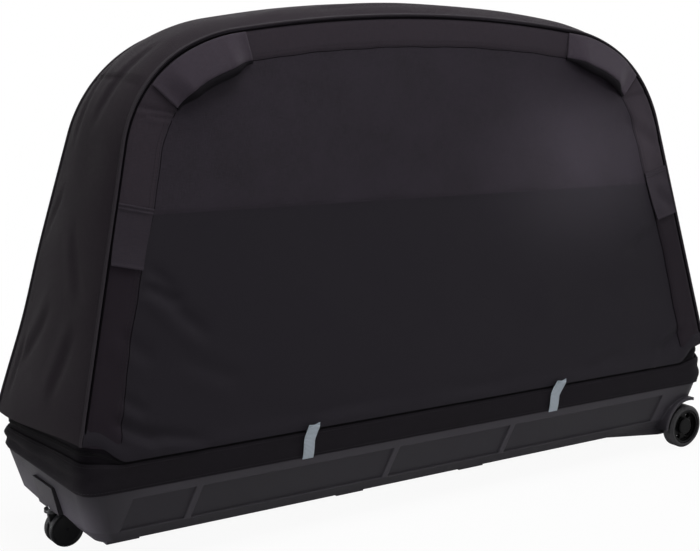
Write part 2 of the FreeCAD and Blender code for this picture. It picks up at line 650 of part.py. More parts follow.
class Dome:
    """Tangent arcs of the cover's outline: top, shoulder and corner, then the leaning side."""

    def __init__(self):
        lean = radians(value("dome_lean_angle"))
        self.top_radius = value("top_radius")
        self.shoulder_radius = value("shoulder_radius")
        self.corner_radius = value("corner_radius")
        self.side_normal = Vector(cos(lean), sin(lean), 0)
        half_length = value(dome_half_length)
        self.top_angle = asin((half_length - value("shoulder_reach")) / self.top_radius)
        self.top_centre = Vector(0, value("dome_height") - self.top_radius, 0)
        self.shoulder_centre = self.top_centre + self.outward(self.top_angle) * (
            self.top_radius - self.shoulder_radius)
        self.side_distance = half_length * cos(lean)
        reach = self.side_distance - self.corner_radius - self.shoulder_centre.dot(self.side_normal)
        self.corner_angle = asin(reach / (self.shoulder_radius - self.corner_radius)) - lean
        self.corner_centre = self.shoulder_centre + self.outward(self.corner_angle) * (
            self.shoulder_radius - self.corner_radius)

    @staticmethod
    def outward(angle):
        return Vector(sin(angle), cos(angle), 0)

    def side_point(self, inset, up):
        """The point of the straight side at a height, drawn in by an inset."""
        across = (self.side_distance - inset - up * self.side_normal.y) / self.side_normal.x
        return Vector(across, up, 0)

    def half_edges(self, inset, low, foot=None, lean=None):
        """Edges of the right half, from the top middle down to the foot."""
        arcs = ((self.top_centre, self.top_radius, 0, self.top_angle),
                (self.shoulder_centre, self.shoulder_radius, self.top_angle, self.corner_angle),
                (self.corner_centre, self.corner_radius, self.corner_angle,
                 radians(90 - (lean or value("dome_lean_angle")))))
        edges = []
        for centre, radius, start, end in arcs:
            points = [centre + self.outward(a) * (radius - inset) for a in (start, (start + end) / 2, end)]
            edges.append(Part.Arc(*points))
        shoulder = points[-1]
        if foot is None:
            edges.append(Part.LineSegment(shoulder, self.side_point(inset, low)))
            return edges
        # A side that bulges leaves the corner along its tangent and ends at the foot
        end = Vector(foot, low, 0)
        chord = end - shoulder
        tangent = Vector(sin(radians(lean)), -cos(radians(lean)), 0)
        turn = chord.getAngle(tangent)
        bow = Vector(-chord.y, chord.x, 0).normalize() * (chord.Length / 2 * tan(turn / 2))
        if bow.Length < STRAIGHT:
            edges.append(Part.LineSegment(shoulder, end))
        else:
            edges.append(Part.Arc(shoulder, shoulder + chord * 0.5 + bow, end))
        return edges

    def outline(self, inset, low, foot=None, lean=None, closed=True):
        """The whole outline, mirrored left to right, closed along the bottom."""
        right = [curve.toShape() for curve in self.half_edges(inset, low, foot, lean)]
        left = [edge.mirror(Vector(0, 0, 0), Vector(1, 0, 0)) for edge in right]
        edges = left[::-1] + right
        if closed:
            foot_point = right[-1].valueAt(right[-1].LastParameter)
            mirrored = Vector(-foot_point.x, foot_point.y, 0)
            edges.append(Part.LineSegment(foot_point, mirrored).toShape())
        return Part.Wire(Part.__sortEdges__(edges))


dome = Dome()
seam_level = value("seam_side")
panel_tilt = Rotation(Vector(1, 0, 0), 90 - value("panel_lean_angle"))
half_turn = Rotation(Vector(0, 0, 1), 180)


def panel_place(side, depth=0):
    """The placement of a panel's plane, with local Z pointing outwards, moved in by a depth."""
    front = Placement(Vector(0, -value(cover_half_width), seam_level), panel_tilt)
    front = front * Placement(Vector(0, 0, -depth), Rotation())
    if side == "back":
        return Placement(Vector(0, 0, 0), half_turn) * front
    return front


def feature(label, shape, placement=None):
    """A piece whose shape is worked out from the sheet's sizes."""
    thing = doc.addObject("Part::Feature", f"{label}_form")
    thing.Shape = shape
    if placement:
        thing.Placement = placement
    return thing


def solid_of(wire, depth):
    return Part.Face(wire).extrude(Vector(0, 0, depth))


def moved(shape, placement):
    copy = shape.copy()
    copy.Placement = placement
    return copy


def trimmed(label, shape, placement=None):
    """A cover piece cut off along the seam."""
    return keep(cut(f"{label}_trim", feature(label, shape, placement), below_cover), label)


BELOW = -40
panel_thick = value("panel_thickness")
crown_rise = value("crown_rise")
crown_lean = value("crown_lean_angle")
crown_foot = value(f"{dome_half_length} - crown_foot_inset")


def gusset():
    """The crowned strip over the top and ends, in straight strips from the front edge to the back."""
    low = value("seam_end - seam_side - tape_width")
    half = value(cover_half_width) - panel_thick / cos(radians(value("panel_lean_angle")))
    strips = int(value("crown_strips"))
    walls = []
    for wall in (0, panel_thick):
        sections = []
        for step in range(strips + 1):
            across = 2 * step / strips - 1
            share = 1 - across * across
            lean = value("dome_lean_angle") + share * (crown_lean - value("dome_lean_angle"))
            rise = share * crown_rise
            foot = dome.side_point(0, low).x * (1 - share) + crown_foot * share
            section = dome.outline(wall - rise, low, foot - wall, lean)
            tilt = Rotation(Vector(1, 0, 0), 90 + across * value("panel_lean_angle"))
            sections.append(moved(section, Placement(Vector(0, across * half, seam_level), tilt)))
        walls.append(Part.makeLoft(sections, True, True))
    return walls[0].cut(walls[1])


trimmed("gusset", gusset())


def band_face(inner, outer):
    """The strip of a panel between two insets."""
    return Part.Face(dome.outline(outer, 0)).cut(Part.Face(dome.outline(inner, BELOW)))


def handle_sector(start_trim, end_trim):
    """A wedge that marks the stretch of band under a grab handle, shortened by a trim at each end."""
    start = radians(value("handle_start_angle")) + start_trim / dome.shoulder_radius
    end = radians(value("handle_end_angle")) - end_trim / dome.corner_radius
    reach = value("band_width") * 1.5
    low_ray, high_ray = dome.outward(start), dome.outward(end)
    shoulder, corner = dome.shoulder_radius, dome.corner_radius
    points = [dome.shoulder_centre + low_ray * (shoulder - reach),
              dome.shoulder_centre + low_ray * (shoulder + reach),
              dome.corner_centre + dome.outward((start + end) / 2) * (corner + 3 * reach),
              dome.corner_centre + high_ray * (corner + reach),
              dome.corner_centre + high_ray * (corner - reach)]
    return Part.Face(Part.makePolygon(points + points[:1]))


def grab_handle():
    """A strip bridging the band on two sewn ends, on the right shoulder of a panel."""
    margin = value("handle_margin")
    strip = band_face(value("band_width") - margin, margin)
    foot = value("handle_foot")
    over = value("band_thickness")
    gap = value("handle_gap")
    bridge = strip.common(handle_sector(0, 0)).extrude(Vector(0, 0, value("handle_thickness")))
    bridge.translate(Vector(0, 0, over + gap))
    ends = strip.common(handle_sector(0, 0)).cut(handle_sector(foot, foot))
    feet_solids = ends.extrude(Vector(0, 0, gap))
    feet_solids.translate(Vector(0, 0, over))
    return bridge.fuse(feet_solids.Solids).removeSplitter()


def hoop_path(low, high):
    """The line of a hoop between two heights, inside the corner of panel and gusset."""
    inset = panel_thick + value("hoop_gap") + value("hoop_radius")
    return inset, dome.side_point(inset, low), dome.side_point(inset, high)


hoop_depth = value("panel_thickness + seat_gap + press_gap + ferrule_wall + hoop_radius")


def tube(start, end, radius):
    return Part.makeCylinder(radius, (end - start).Length, start, end - start)


def swept(wire, radius):
    """A section with a few flat sides along an open outline."""
    start = wire.OrderedVertexes[0].Point
    direction = wire.OrderedEdges[0].tangentAt(wire.OrderedEdges[0].FirstParameter)
    ring = Part.Circle(start, direction, radius)
    sides = int(value("tube_sides"))
    corners = [ring.value(2 * pi * i / sides) for i in range(sides)]
    section = Part.makePolygon(corners + corners[:1])
    return wire.makePipeShell([section], True, True)


def panel_pieces(side):
    """Panel, piping, edge band and handles of one face of the cover."""
    plane = panel_place(side)
    panel = solid_of(dome.outline(0, 0), -panel_thick)
    trimmed(f"{side}_panel", panel, plane)

    radius = value("piping_radius")
    middle = panel_thick / 2
    low = value("seam_end - seam_side + seam_gap")
    line = dome.outline(-radius - value("piping_gap"), low, closed=False)
    line.translate(Vector(0, 0, -middle))
    keep(feature(f"{side}_piping", swept(line, radius), plane), f"{side}_piping")

    strip = band_face(value("band_width"), value("band_margin"))
    trimmed(f"{side}_edge_band", strip.extrude(Vector(0, 0, value("band_thickness"))), plane)

    handle = grab_handle()
    mirrored = handle.mirror(Vector(0, 0, 0), Vector(1, 0, 0))
    flip = side == "back"
    for end, shape in (("left", handle if flip else mirrored), ("right", mirrored if flip else handle)):
        keep(feature(f"handle_{side}_{end}", shape, plane), f"handle_{side}_{end}")


def hoop_pieces(side):
    """Arch, legs and ferrules of the hoop behind one panel."""
    radius = value("hoop_radius")
    plane = panel_place(side, hoop_depth)
    joint = value("leg_bottom + leg_length")
    inset, bottom, middle = hoop_path(value("leg_bottom"), joint)
    arch = swept(dome.outline(inset, joint, closed=False), radius)
    keep(feature(f"{side}_hoop_arch", arch, plane), f"{side}_hoop_arch")
    legs = []
    ferrules = []
    along = (bottom - middle).normalize()
    half = value("ferrule_length") / 2
    bore = radius + value("press_gap")
    for sign in (-1, 1):
        turned = Vector(sign, 1, 1)
        low = Vector(bottom.x * turned.x, bottom.y, 0)
        top = Vector(middle.x * turned.x, middle.y, 0)
        run = Vector(along.x * turned.x, along.y, 0)
        legs.append(tube(low, top, radius))
        sleeve = tube(top + run * half, top - run * half, bore + value("ferrule_wall"))
        ferrules.append(sleeve.cut(tube(top + run * half * 2, top - run * half * 2, bore)))
    keep(feature(f"{side}_hoop_legs", Part.Compound(legs), plane), f"{side}_hoop_legs")
    keep(feature(f"{side}_hoop_ferrules", Part.Compound(ferrules), plane), f"{side}_hoop_ferrules")


for side, sign, turn in SIDES:
    panel_pieces(side)
    hoop_pieces(side)


def spreader_bars():
    """Round bars that hold the two hoops apart under the top of the cover."""
    inset = hoop_path(0, 0)[0]
    across = value("spreader_place")
    angle = asin(across / (dome.top_radius - inset))
    height = dome.top_centre.y + (dome.top_radius - inset) * cos(angle)
    centre = panel_place("front", hoop_depth).multVec(Vector(across, height, 0))
    reach = abs(centre.y) - value("hoop_radius") - value("seat_gap")
    bars = []
    for sign in (-1, 1):
        start = Vector(sign * across, -reach, centre.z)
        bars.append(Part.makeCylinder(value("spreader_radius"), 2 * reach, start, Vector(0, 1, 0)))
    keep(feature("spreader_bars", Part.Compound(bars)), "spreader_bars")


spreader_bars()


# Hinge strip along the back seam and webbing loops on the front

strip_form = box("strip_form", "strip_inset - tub_half_length",
                 "tub_half_width + skirt_overhang + seat_gap", "seam_side - seam_gap - strip_height",
                 "2 * (tub_half_length - strip_inset)", "strip_thickness", "strip_height")
keep(strip_form, "hinge_strip")


def webbing_loop(name, middle):
    """A strip sewn to the skirt whose folded upper end stands off as a loop."""
    body = new_body(name)
    sketch = new_sketch(body, f"{name}_outline", "YZ_Plane")
    near = "-1 * (tub_half_width + skirt_overhang + seat_gap)"
    far = f"{near} - loop_layer"
    out = f"{near} - 2 * loop_layer - loop_slit"
    polygon(sketch, [(near, "loop_bottom"), (far, "loop_bottom"), (far, "loop_kink"),
                     (out, "loop_kink + loop_layer"), (out, "loop_top"), (near, "loop_top")])
    slit_in, slit_out = far, f"{far} - loop_slit"
    polygon(sketch, [(slit_in, "loop_kink + 3 * loop_layer"), (slit_out, "loop_kink + 3 * loop_layer"),
                     (slit_out, "loop_top - loop_layer"), (slit_in, "loop_top - loop_layer")])
    pad(body, sketch, "loop_width", both_ways=True)
    place(body, middle)
    return body


keep(webbing_loop("loop_left", "-1 * loop_place"), "webbing_loop_left")
keep(webbing_loop("loop_right", "loop_place"), "webbing_loop_right")


# Zipper sliders on the straight seam of the wheel end, each with a swinging pull

slider_start = "tub_half_length + skirt_overhang + seat_gap"
pull_axis_x = f"{slider_start} + slider_body + pull_knuckle + seat_gap"
pull_axis_z = "seam_end + seam_gap / 2"


def slider(name, across):
    body = new_body(name)
    sketch = new_sketch(body, f"{name}_outline", "XZ_Plane")
    upper = f"{slider_start} + slider_body / 2"
    level = pull_axis_z
    outer = f"{slider_start} + slider_body"
    polygon(sketch, [(slider_start, f"{level} - slider_low"), (outer, f"{level} - slider_low"),
                     (outer, f"{level} + slider_high"), (upper, f"{level} + slider_high"),
                     (upper, f"{level} - seam_gap"), (slider_start, f"{level} - seam_gap")])
    pad(body, sketch, "slider_width", both_ways=True)
    ears = []
    for sign in (-1, 1):
        ears.append(box(f"{name}_ear", outer,
                        f"{sign} * (slider_width - slider_ear) / 2 - slider_ear / 2",
                        f"{level} - pull_knuckle", "2 * pull_knuckle", "slider_ear", "2 * pull_knuckle"))
    pin = cylinder(f"{name}_pin", "pull_pin", "slider_width", pull_axis_x, "-1 * slider_width / 2",
                   pull_axis_z, ALONG_Y)
    whole = fuse(f"{name}_whole", body, *ears, pin)
    place(whole, "0", across, "0")
    return whole


def pull(name, across):
    body = new_body(name)
    sketch = new_sketch(body, f"{name}_outline", "XZ_Plane")
    half = "pull_thickness / 2"
    polygon(sketch, [(f"{pull_axis_x} - {half}", f"{pull_axis_z} - pull_length"),
                     (f"{pull_axis_x} + {half}", f"{pull_axis_z} - pull_length"),
                     (f"{pull_axis_x} + {half}", pull_axis_z), (f"{pull_axis_x} - {half}", pull_axis_z)])
    pad(body, sketch, "pull_width", both_ways=True)
    knuckle = cylinder(f"{name}_knuckle", "pull_knuckle", "pull_width", pull_axis_x, "-1 * pull_width / 2",
                       pull_axis_z, ALONG_Y)
    bore = cylinder(f"{name}_bore", "pull_pin + running_gap", "2 * pull_width", pull_axis_x,
                    "-1 * pull_width", pull_axis_z, ALONG_Y)
    whole = cut(f"{name}_whole", fuse(f"{name}_solid", body, knuckle), bore)
    place(whole, "0", across, "0")
    return whole


for side, sign, turn in SIDES:
    middle = f"{sign} * slider_pitch / 2"
    keep(slider(f"slider_{side}", middle), f"zip_slider_{side}")
    keep(pull(f"pull_{side}", middle), f"zip_pull_{side}")


# Rail, screws and floor pads on the floor of the tub

floor = "tub_bottom + tub_wall"


def frame_rail():
    body = new_body("rail")
    sketch = new_sketch(body, "rail_section", "YZ_Plane")
    half, wall = "rail_width / 2", "rail_wall"
    slot = "rail_slot / 2"
    top = f"{floor} + rail_height"
    roof, bed = f"{top} - {wall}", f"{floor} + {wall}"
    polygon(sketch, [(f"-1 * {half}", floor), (half, floor), (half, top), (slot, top), (slot, roof),
                     (f"{half} - {wall}", roof), (f"{half} - {wall}", bed), (f"{wall} - {half}", bed),
                     (f"{wall} - {half}", roof), (f"-1 * {slot}", roof), (f"-1 * {slot}", top),
                     (f"-1 * {half}", top)])
    pad(body, sketch, f"2 * {rail_half_length}", both_ways=True)
    doc.recompute()
    holes = new_sketch(body, "rail_holes", "XY_Plane")
    for spot in screw_spots:
        circle(holes, spot, "0", "screw_radius + press_gap")
    hole = pocket(body, holes)
    hole.Midplane = False
    hole.Type = "Length"
    hole.Reversed = True
    bind(hole, Length=f"{floor} + 2 * rail_wall")
    keep(body, "frame_rail")


def rail_screws():
    screws = []
    for number, spot in enumerate(screw_spots):
        body = new_body(f"screw_{number}")
        sketch = new_sketch(body, "screw_profile", "XZ_Plane")
        seat = f"{floor} + rail_wall"
        head_top = f"{seat} + screw_head_height"
        polygon(sketch, [("0", "tub_bottom"), ("screw_radius", "tub_bottom"), ("screw_radius", seat),
                         ("screw_head", seat), ("screw_head", head_top), ("0", head_top)])
        revolve(body, sketch)
        screws.append(place(body, spot))
    keep(group("screws", *screws), "rail_screws")


def floor_pads():
    pads = []
    for side, sign, turn in SIDES:
        body = new_body(f"pad_{side}")
        sketch = new_sketch(body, "pad_outline", "XY_Plane", floor)
        near, far = f"{sign} * pad_inner", f"{sign} * (tub_half_width - pad_side_inset)"
        polygon(sketch, [("pad_inset - tub_half_length", near), ("tub_half_length - pad_inset", near),
                         ("tub_half_length - pad_inset", far), ("pad_inset - tub_half_length", far)])
        pad(body, sketch, "pad_thickness")
        pads.append(body)
    keep(group("pads", *pads), "floor_pads")


def bike_mount(name, middle, head_width, bore, knob_side):
    """A carriage on the rail with an upright that holds one thru axle."""
    body = new_body(name)
    top = f"{floor} + rail_height"
    section = new_sketch(body, "saddle_section", "YZ_Plane")
    neck = "rail_slot / 2 - slide_gap"
    tee = "tee_width / 2"
    tee_top = f"{top} - rail_wall - slide_gap"
    seat = f"{top} + slide_gap"
    plate = "saddle_width / 2"
    tee_low = f"{tee_top} - tee_height"
    saddle_top = f"{seat} + saddle_height"
    polygon(section, [(f"-1 * {tee}", tee_low), (tee, tee_low), (tee, tee_top), (neck, tee_top),
                      (neck, seat), (plate, seat), (plate, saddle_top), (f"-1 * {plate}", saddle_top),
                      (f"-1 * {plate}", seat), (f"-1 * ({neck})", seat), (f"-1 * ({neck})", tee_top),
                      (f"-1 * {tee}", tee_top)])
    pad(body, section, "saddle_length", both_ways=True)
    doc.recompute()
    side_view = new_sketch(body, "upright_outline", "XZ_Plane")
    shoulder = f"{saddle_top} - seat_gap"
    polygon(side_view, [("-1 * upright_foot / 2", shoulder), ("upright_foot / 2", shoulder),
                        ("upright_top / 2", "axle_height"), ("-1 * upright_top / 2", "axle_height")])
    pad(body, side_view, "upright_width", both_ways=True)
    doc.recompute()
    head = new_sketch(body, "head_circle", "XZ_Plane")
    circle(head, "0", "axle_height", "head_radius")
    pad(body, head, head_width, both_ways=True)
    doc.recompute()
    hole = new_sketch(body, "axle_bore", "XZ_Plane")
    circle(hole, "0", "axle_height", bore)
    pocket(body, hole)
    doc.recompute()
    screw = new_sketch(body, "knob_bore", "XY_Plane", saddle_top)
    circle(screw, f"{knob_side} * knob_offset", "0", "knob_stem + running_gap")
    down = pocket(body, screw)
    down.Midplane = False
    down.Type = "Length"
    down.Reversed = False
    bind(down, Length="saddle_height")
    place(body, middle)
    keep(body, name)
    return saddle_top


def clamp_knob(name, middle, knob_side, seat):
    """A lobed hand knob whose stem goes down into the saddle."""
    body = new_body(name)
    profile = new_sketch(body, "knob_profile", "XZ_Plane")
    low = "seat_gap"
    high = "seat_gap + knob_height"
    edge = "knob_radius - knob_stem / 2"
    tip = "knob_stem - saddle_height"
    polygon(profile, [("0", tip), ("knob_stem", tip), ("knob_stem", low), ("knob_radius", low),
                      ("knob_radius", f"{high} - knob_stem / 2"), (edge, high), ("0", high)])
    revolve(body, profile)
    doc.recompute()
    notch = new_sketch(body, "knob_notch", "XY_Plane", low)
    circle(notch, "knob_radius + knob_notch / 2", "0", "knob_notch")
    scoop = pocket(body, notch)
    scoop.Midplane = False
    scoop.Type = "Length"
    scoop.Reversed = True
    bind(scoop, Length="knob_height")
    doc.recompute()
    ring = body.newObject("PartDesign::PolarPattern", "knob_lobes")
    ring.Originals = [scoop]
    ring.Axis = (notch, ["N_Axis"])
    ring.Angle = 360
    ring.setExpression("Occurrences", formula("knob_lobes"))
    body.Tip = ring
    place(body, f"{middle} + {knob_side} * knob_offset", "0", seat)
    keep(body, name)


frame_rail()
rail_screws()
floor_pads()
fork_place = f"fork_inset - {rail_half_length}"
rear_place = f"{rail_half_length} - rear_inset"
for name, middle, width, bore, knob_side in (("fork", fork_place, "fork_width", "fork_bore", "1"),
                                             ("rear", rear_place, "rear_width", "rear_bore", "-1")):
    saddle_top = bike_mount(f"{name}_mount", middle, width, bore, knob_side)
    clamp_knob(f"{name}_knob", middle, knob_side, saddle_top)

# Check every object, then write one file for each piece
doc.recompute()
faults = [thing.Name for thing in doc.Objects if {"Invalid", "Error"} & set(thing.State)]
for piece in parts:
    if piece.Shape.isNull() or not piece.Shape.isValid() or not piece.Shape.Solids:
        faults.append(piece.Label)
if faults:
    raise RuntimeError(f"failed pieces: {faults}")

os.makedirs("parts", exist_ok=True)
whole = FreeCAD.BoundBox()
for piece in parts:
    piece.Shape.exportStep(f"parts/{piece.Label}.step")
    whole.add(piece.Shape.BoundBox)
    print(f"{piece.Label}: {len(piece.Shape.Solids)} solid(s), {piece.Shape.Volume / 1000:.1f} cm3")
print(f"{len(parts)} pieces, box {whole.XMin:.1f} {whole.XMax:.1f} {whole.YMin:.1f} {whole.YMax:.1f} "
      f"{whole.ZMin:.1f} {whole.ZMax:.1f}")
print(f"shoulder arc from {degrees(dome.top_angle):.1f} to {degrees(dome.corner_angle):.1f} degrees")
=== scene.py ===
"""Bike travel case: the cloth cover, skirt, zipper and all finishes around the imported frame, in metres."""

import math

import bpy
import numpy as np
from mathutils import Matrix, Vector


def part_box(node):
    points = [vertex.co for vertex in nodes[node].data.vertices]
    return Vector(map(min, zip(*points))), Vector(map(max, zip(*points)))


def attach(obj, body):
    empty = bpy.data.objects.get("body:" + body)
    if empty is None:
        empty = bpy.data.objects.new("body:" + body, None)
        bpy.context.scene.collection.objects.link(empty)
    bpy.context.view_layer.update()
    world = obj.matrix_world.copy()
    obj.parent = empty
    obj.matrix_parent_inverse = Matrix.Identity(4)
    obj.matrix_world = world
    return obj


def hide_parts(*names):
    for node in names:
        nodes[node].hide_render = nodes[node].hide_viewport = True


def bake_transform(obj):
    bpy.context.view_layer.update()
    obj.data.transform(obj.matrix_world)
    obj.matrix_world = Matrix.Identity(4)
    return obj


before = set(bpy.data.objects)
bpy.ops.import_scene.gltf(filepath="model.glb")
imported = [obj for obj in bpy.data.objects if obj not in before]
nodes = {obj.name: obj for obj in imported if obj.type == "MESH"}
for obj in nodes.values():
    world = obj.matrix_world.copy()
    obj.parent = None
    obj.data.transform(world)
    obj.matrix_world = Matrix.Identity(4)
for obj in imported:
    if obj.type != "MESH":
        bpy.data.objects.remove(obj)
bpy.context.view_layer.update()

# Sizes of the cover's outline
DOME_FOOT = 0.190
DOME_HEIGHT = 0.728
TOP_RADIUS, SHOULDER_RADIUS, CORNER_RADIUS = 2.760, 0.320, 0.235
TOP_TURN, SHOULDER_TURN, CORNER_TURN = math.radians(8.060), math.radians(26.229), math.radians(76.8)
SIDE_START, SIDE_TOP = 0.69715, 0.51381
PANEL_HALF = 0.178
PANEL_LEAN = math.radians(7.9)
LEAN_SIN, LEAN_COS = math.sin(PANEL_LEAN), math.cos(PANEL_LEAN)
COLOUR_SEAM, COLOUR_SLOPE, COLOUR_BLUR = 0.3937, -0.0104, 0.0012
SAG_DEPTH, SAG_PLACE, SAG_WIDTH = 0.0042, 1.035, 0.095
FULL_DEPTH, FULL_HALF, FULL_FOOT, FULL_TALL = 0.004, 0.70, 0.2, 0.70
SIDE_FOOT, SIDE_SLOPE = 0.732, 0.2345

# Sizes of the tub's long wall
TUB_KNUCKLE, KNUCKLE_HALF, TUB_HALF = 0.070, 0.164, 0.177
WALL_FLARE = 0.013 / 0.072

# Sizes of the seam round the tub
RING_LENGTH, RING_WIDTH, RING_CORNER = 0.719, 0.178, 0.037
STEP_START, STEP_STOP = 0.640, 0.702
SLIDER_HALF, SLIDER_FADE = 0.123, 0.174
END_HALF = 0.175
INSIDE = np.array([0.0, 0.0, 0.45])

# Heights of the seam's edges: along the sides, rise at the ends, fall to the back, level at the sliders
COVER_SEAM = (0.1925, 0.0355, 0.0230, 0.2368)
SKIRT_SEAM = (0.1880, 0.0085, 0.0170, 0.2152)

# Thicknesses of the cloths
CLOTH_THICK, THIN_THICK, PATCH_THICK, WEBBING_THICK = 0.0025, 0.0012, 0.0018, 0.0016

# Sewn details: radii of cords, heights over the panel, one stitch, and how far a row of them stands out
PIPING_RADIUS, GROOVE_SHADE_RADIUS, SEAM_RADIUS, BINDING_AND_SHADE_RADIUS = 0.0027, 0.0020, 0.0009, 0.0080
BAND_HEIGHT, PATCH_HEIGHT, HANDLE_HEIGHT = 0.0018, 0.0032, 0.0048
STITCH_RADIUS, STITCH_LENGTH, STITCH_START, STITCH_PITCH = 0.00055, 0.0042, 0.0030, 0.0058
STITCH_OUT = 0.0004

# The zipper: its coil, and how its tapes lie
COIL_RADIUS, COIL_LENGTH, COIL_ROUND, COIL_PITCH = 0.0009, 0.0034, 0.0003, 0.0024
COIL_STEP, COIL_GAP, COIL_SUNK = 0.0020, 0.0007, 0.0032
TAPE_SEWN, TAPE_SUNK = 0.008, 0.0040


# Small helpers

def smooth(x, start, stop):
    """0 before start, 1 after stop, and smooth between them."""
    u = np.clip((np.asarray(x, float) - start) / (stop - start), 0, 1)
    return u * u * (3 - 2 * u)


def bump(x, middle, width):
    """A soft hill of height 1."""
    return np.exp(-((np.asarray(x, float) - middle) / width) ** 2)


def paint(red, green, blue):
    """A colour written in the usual 0 to 255 numbers, as the shader wants it."""
    linear = [c / 12.92 if c <= 0.04045 else ((c + 0.055) / 1.055) ** 2.4
              for c in (red / 255, green / 255, blue / 255)]
    return (*linear, 1.0)


def spread(*values):
    """Numbers and arrays, as arrays of one shape."""
    return np.broadcast_arrays(*(np.asarray(value, float) for value in values))


def pair(*values):
    """Numbers and arrays, stacked as coordinates."""
    return np.stack(spread(*values), -1)


def deselect():
    bpy.ops.object.select_all(action="DESELECT")


def pick(piece):
    deselect()
    piece.select_set(True)
    bpy.context.view_layer.objects.active = piece


def apply(piece, kind, **settings):
    """Adds a modifier with these settings and applies it."""
    pick(piece)
    modifier = piece.modifiers.new(kind.lower(), kind)
    for key, value in settings.items():
        setattr(modifier, key, value)
    bpy.ops.object.modifier_apply(modifier=modifier.name)


def edit(piece, *steps):
    """Runs edit-mode steps on the whole piece."""
    pick(piece)
    bpy.ops.object.mode_set(mode="EDIT")
    bpy.ops.mesh.select_all(action="SELECT")
    for step in steps:
        step()
    bpy.ops.object.mode_set(mode="OBJECT")
    return piece


def merge():
    bpy.ops.mesh.remove_doubles(threshold=0.00002)


def outward():
    bpy.ops.mesh.normals_make_consistent(inside=False)


def cap_ends():
    bpy.ops.mesh.select_all(action="DESELECT")
    bpy.ops.mesh.select_non_manifold(extend=False)
    bpy.ops.mesh.edge_face_add()
    bpy.ops.mesh.select_all(action="SELECT")


def grid(name, spots, flat):
    """A grid primitive with its vertices moved to spots (rows, columns, xyz). Flat is its cut, as uv."""
    rows, columns = spots.shape[:2]
    deselect()
    bpy.ops.mesh.primitive_grid_add(x_subdivisions=columns - 1, y_subdivisions=rows - 1, size=1)
    piece = bpy.context.object
    piece.name = piece.data.name = name
    mesh = piece.data
    mesh.vertices.foreach_set("co", np.ascontiguousarray(spots, np.float32).ravel())
    corners = np.zeros(len(mesh.loops), np.int32)
    mesh.loops.foreach_get("vertex_index", corners)
    cut = np.ascontiguousarray(flat, np.float32).reshape(-1, 2)[corners]
    mesh.uv_layers[0].data.foreach_set("uv", cut.ravel())
    mesh.update()
    return piece


def face_away(piece, inner):
    """Turns an open sheet so that its faces look away from the inner point."""
    mesh = piece.data
    centres = np.zeros(len(mesh.polygons) * 3, np.float32)
    normals = np.zeros(len(mesh.polygons) * 3, np.float32)
    mesh.polygons.foreach_get("center", centres)
    mesh.polygons.foreach_get("normal", normals)
    away = ((centres.reshape(-1, 3) - inner) * normals.reshape(-1, 3)).sum(1)
    if np.sum(away) < 0:
        edit(piece, bpy.ops.mesh.flip_normals)


def smooth_shade(piece, angle=40):
    pick(piece)
    bpy.ops.object.shade_smooth_by_angle(angle=math.radians(angle))
    return piece


def sheet(name, spots, flat, thickness, wrap=False, inner=INSIDE):
    """A cloth sheet of that thickness, grown inwards from spots."""
    piece = grid(name, spots, flat)
    if wrap:
        edit(piece, merge)
    face_away(piece, inner)
    apply(piece, "SOLIDIFY", thickness=thickness, offset=-1)
    return smooth_shade(piece)


def tube(name, sections, flat):
    """A closed body lofted through sections (rows, columns, xyz), whose first and last columns meet."""
    piece = grid(name, sections, flat)
    edit(piece, merge, cap_ends, outward)
    return smooth_shade(piece, 60)


def path_curve(name, points, radius=0.0, sides=2, swell=1.0):
    """A curve through points. A radius gives it a round section, times swell at each point."""
    curve = bpy.data.curves.new(name, "CURVE")
    curve.dimensions = "3D"
    curve.bevel_depth = radius
    curve.bevel_resolution = sides
    curve.use_fill_caps = True
    curve.twist_mode = "MINIMUM"
    line = curve.splines.new("POLY")
    line.points.add(len(points) - 1)
    four = np.ones((len(points), 4))
    four[:, :3] = points
    line.points.foreach_set("co", four.ravel())
    line.points.foreach_set("radius", swell * np.ones(len(points)))
    piece = bpy.data.objects.new(name, curve)
    bpy.context.scene.collection.objects.link(piece)
    return piece


def round_cord(name, points, radius, sides=2, swell=1.0):
    """A round cord of cloth along points, as a mesh."""
    piece = path_curve(name, points, radius, sides, swell)
    pick(piece)
    bpy.ops.object.convert(target="MESH")
    piece = bpy.context.object
    edit(piece, merge, outward)
    return smooth_shade(piece, 60)


def row_along(name, unit, pitch, points):
    """Copies of a small unit, one after the other along points. The unit points along X."""
    path = path_curve(name + "_path", points)
    length = float(np.linalg.norm(np.diff(points, axis=0), axis=1).sum())
    pick(unit)
    bpy.ops.object.duplicate()
    piece = bpy.context.object
    piece.name = piece.data.name = name
    apply(piece, "ARRAY", count=max(int(length / pitch), 1), use_relative_offset=False,
          use_constant_offset=True, constant_offset_displace=(pitch, 0, 0))
    apply(piece, "CURVE", object=path)
    bpy.data.objects.remove(path)
    return smooth_shade(piece, 60)


# Outline of the cover

def toward(turn):
    """The direction that is turned from straight up by this angle."""
    return np.array([math.sin(turn), math.cos(turn)])


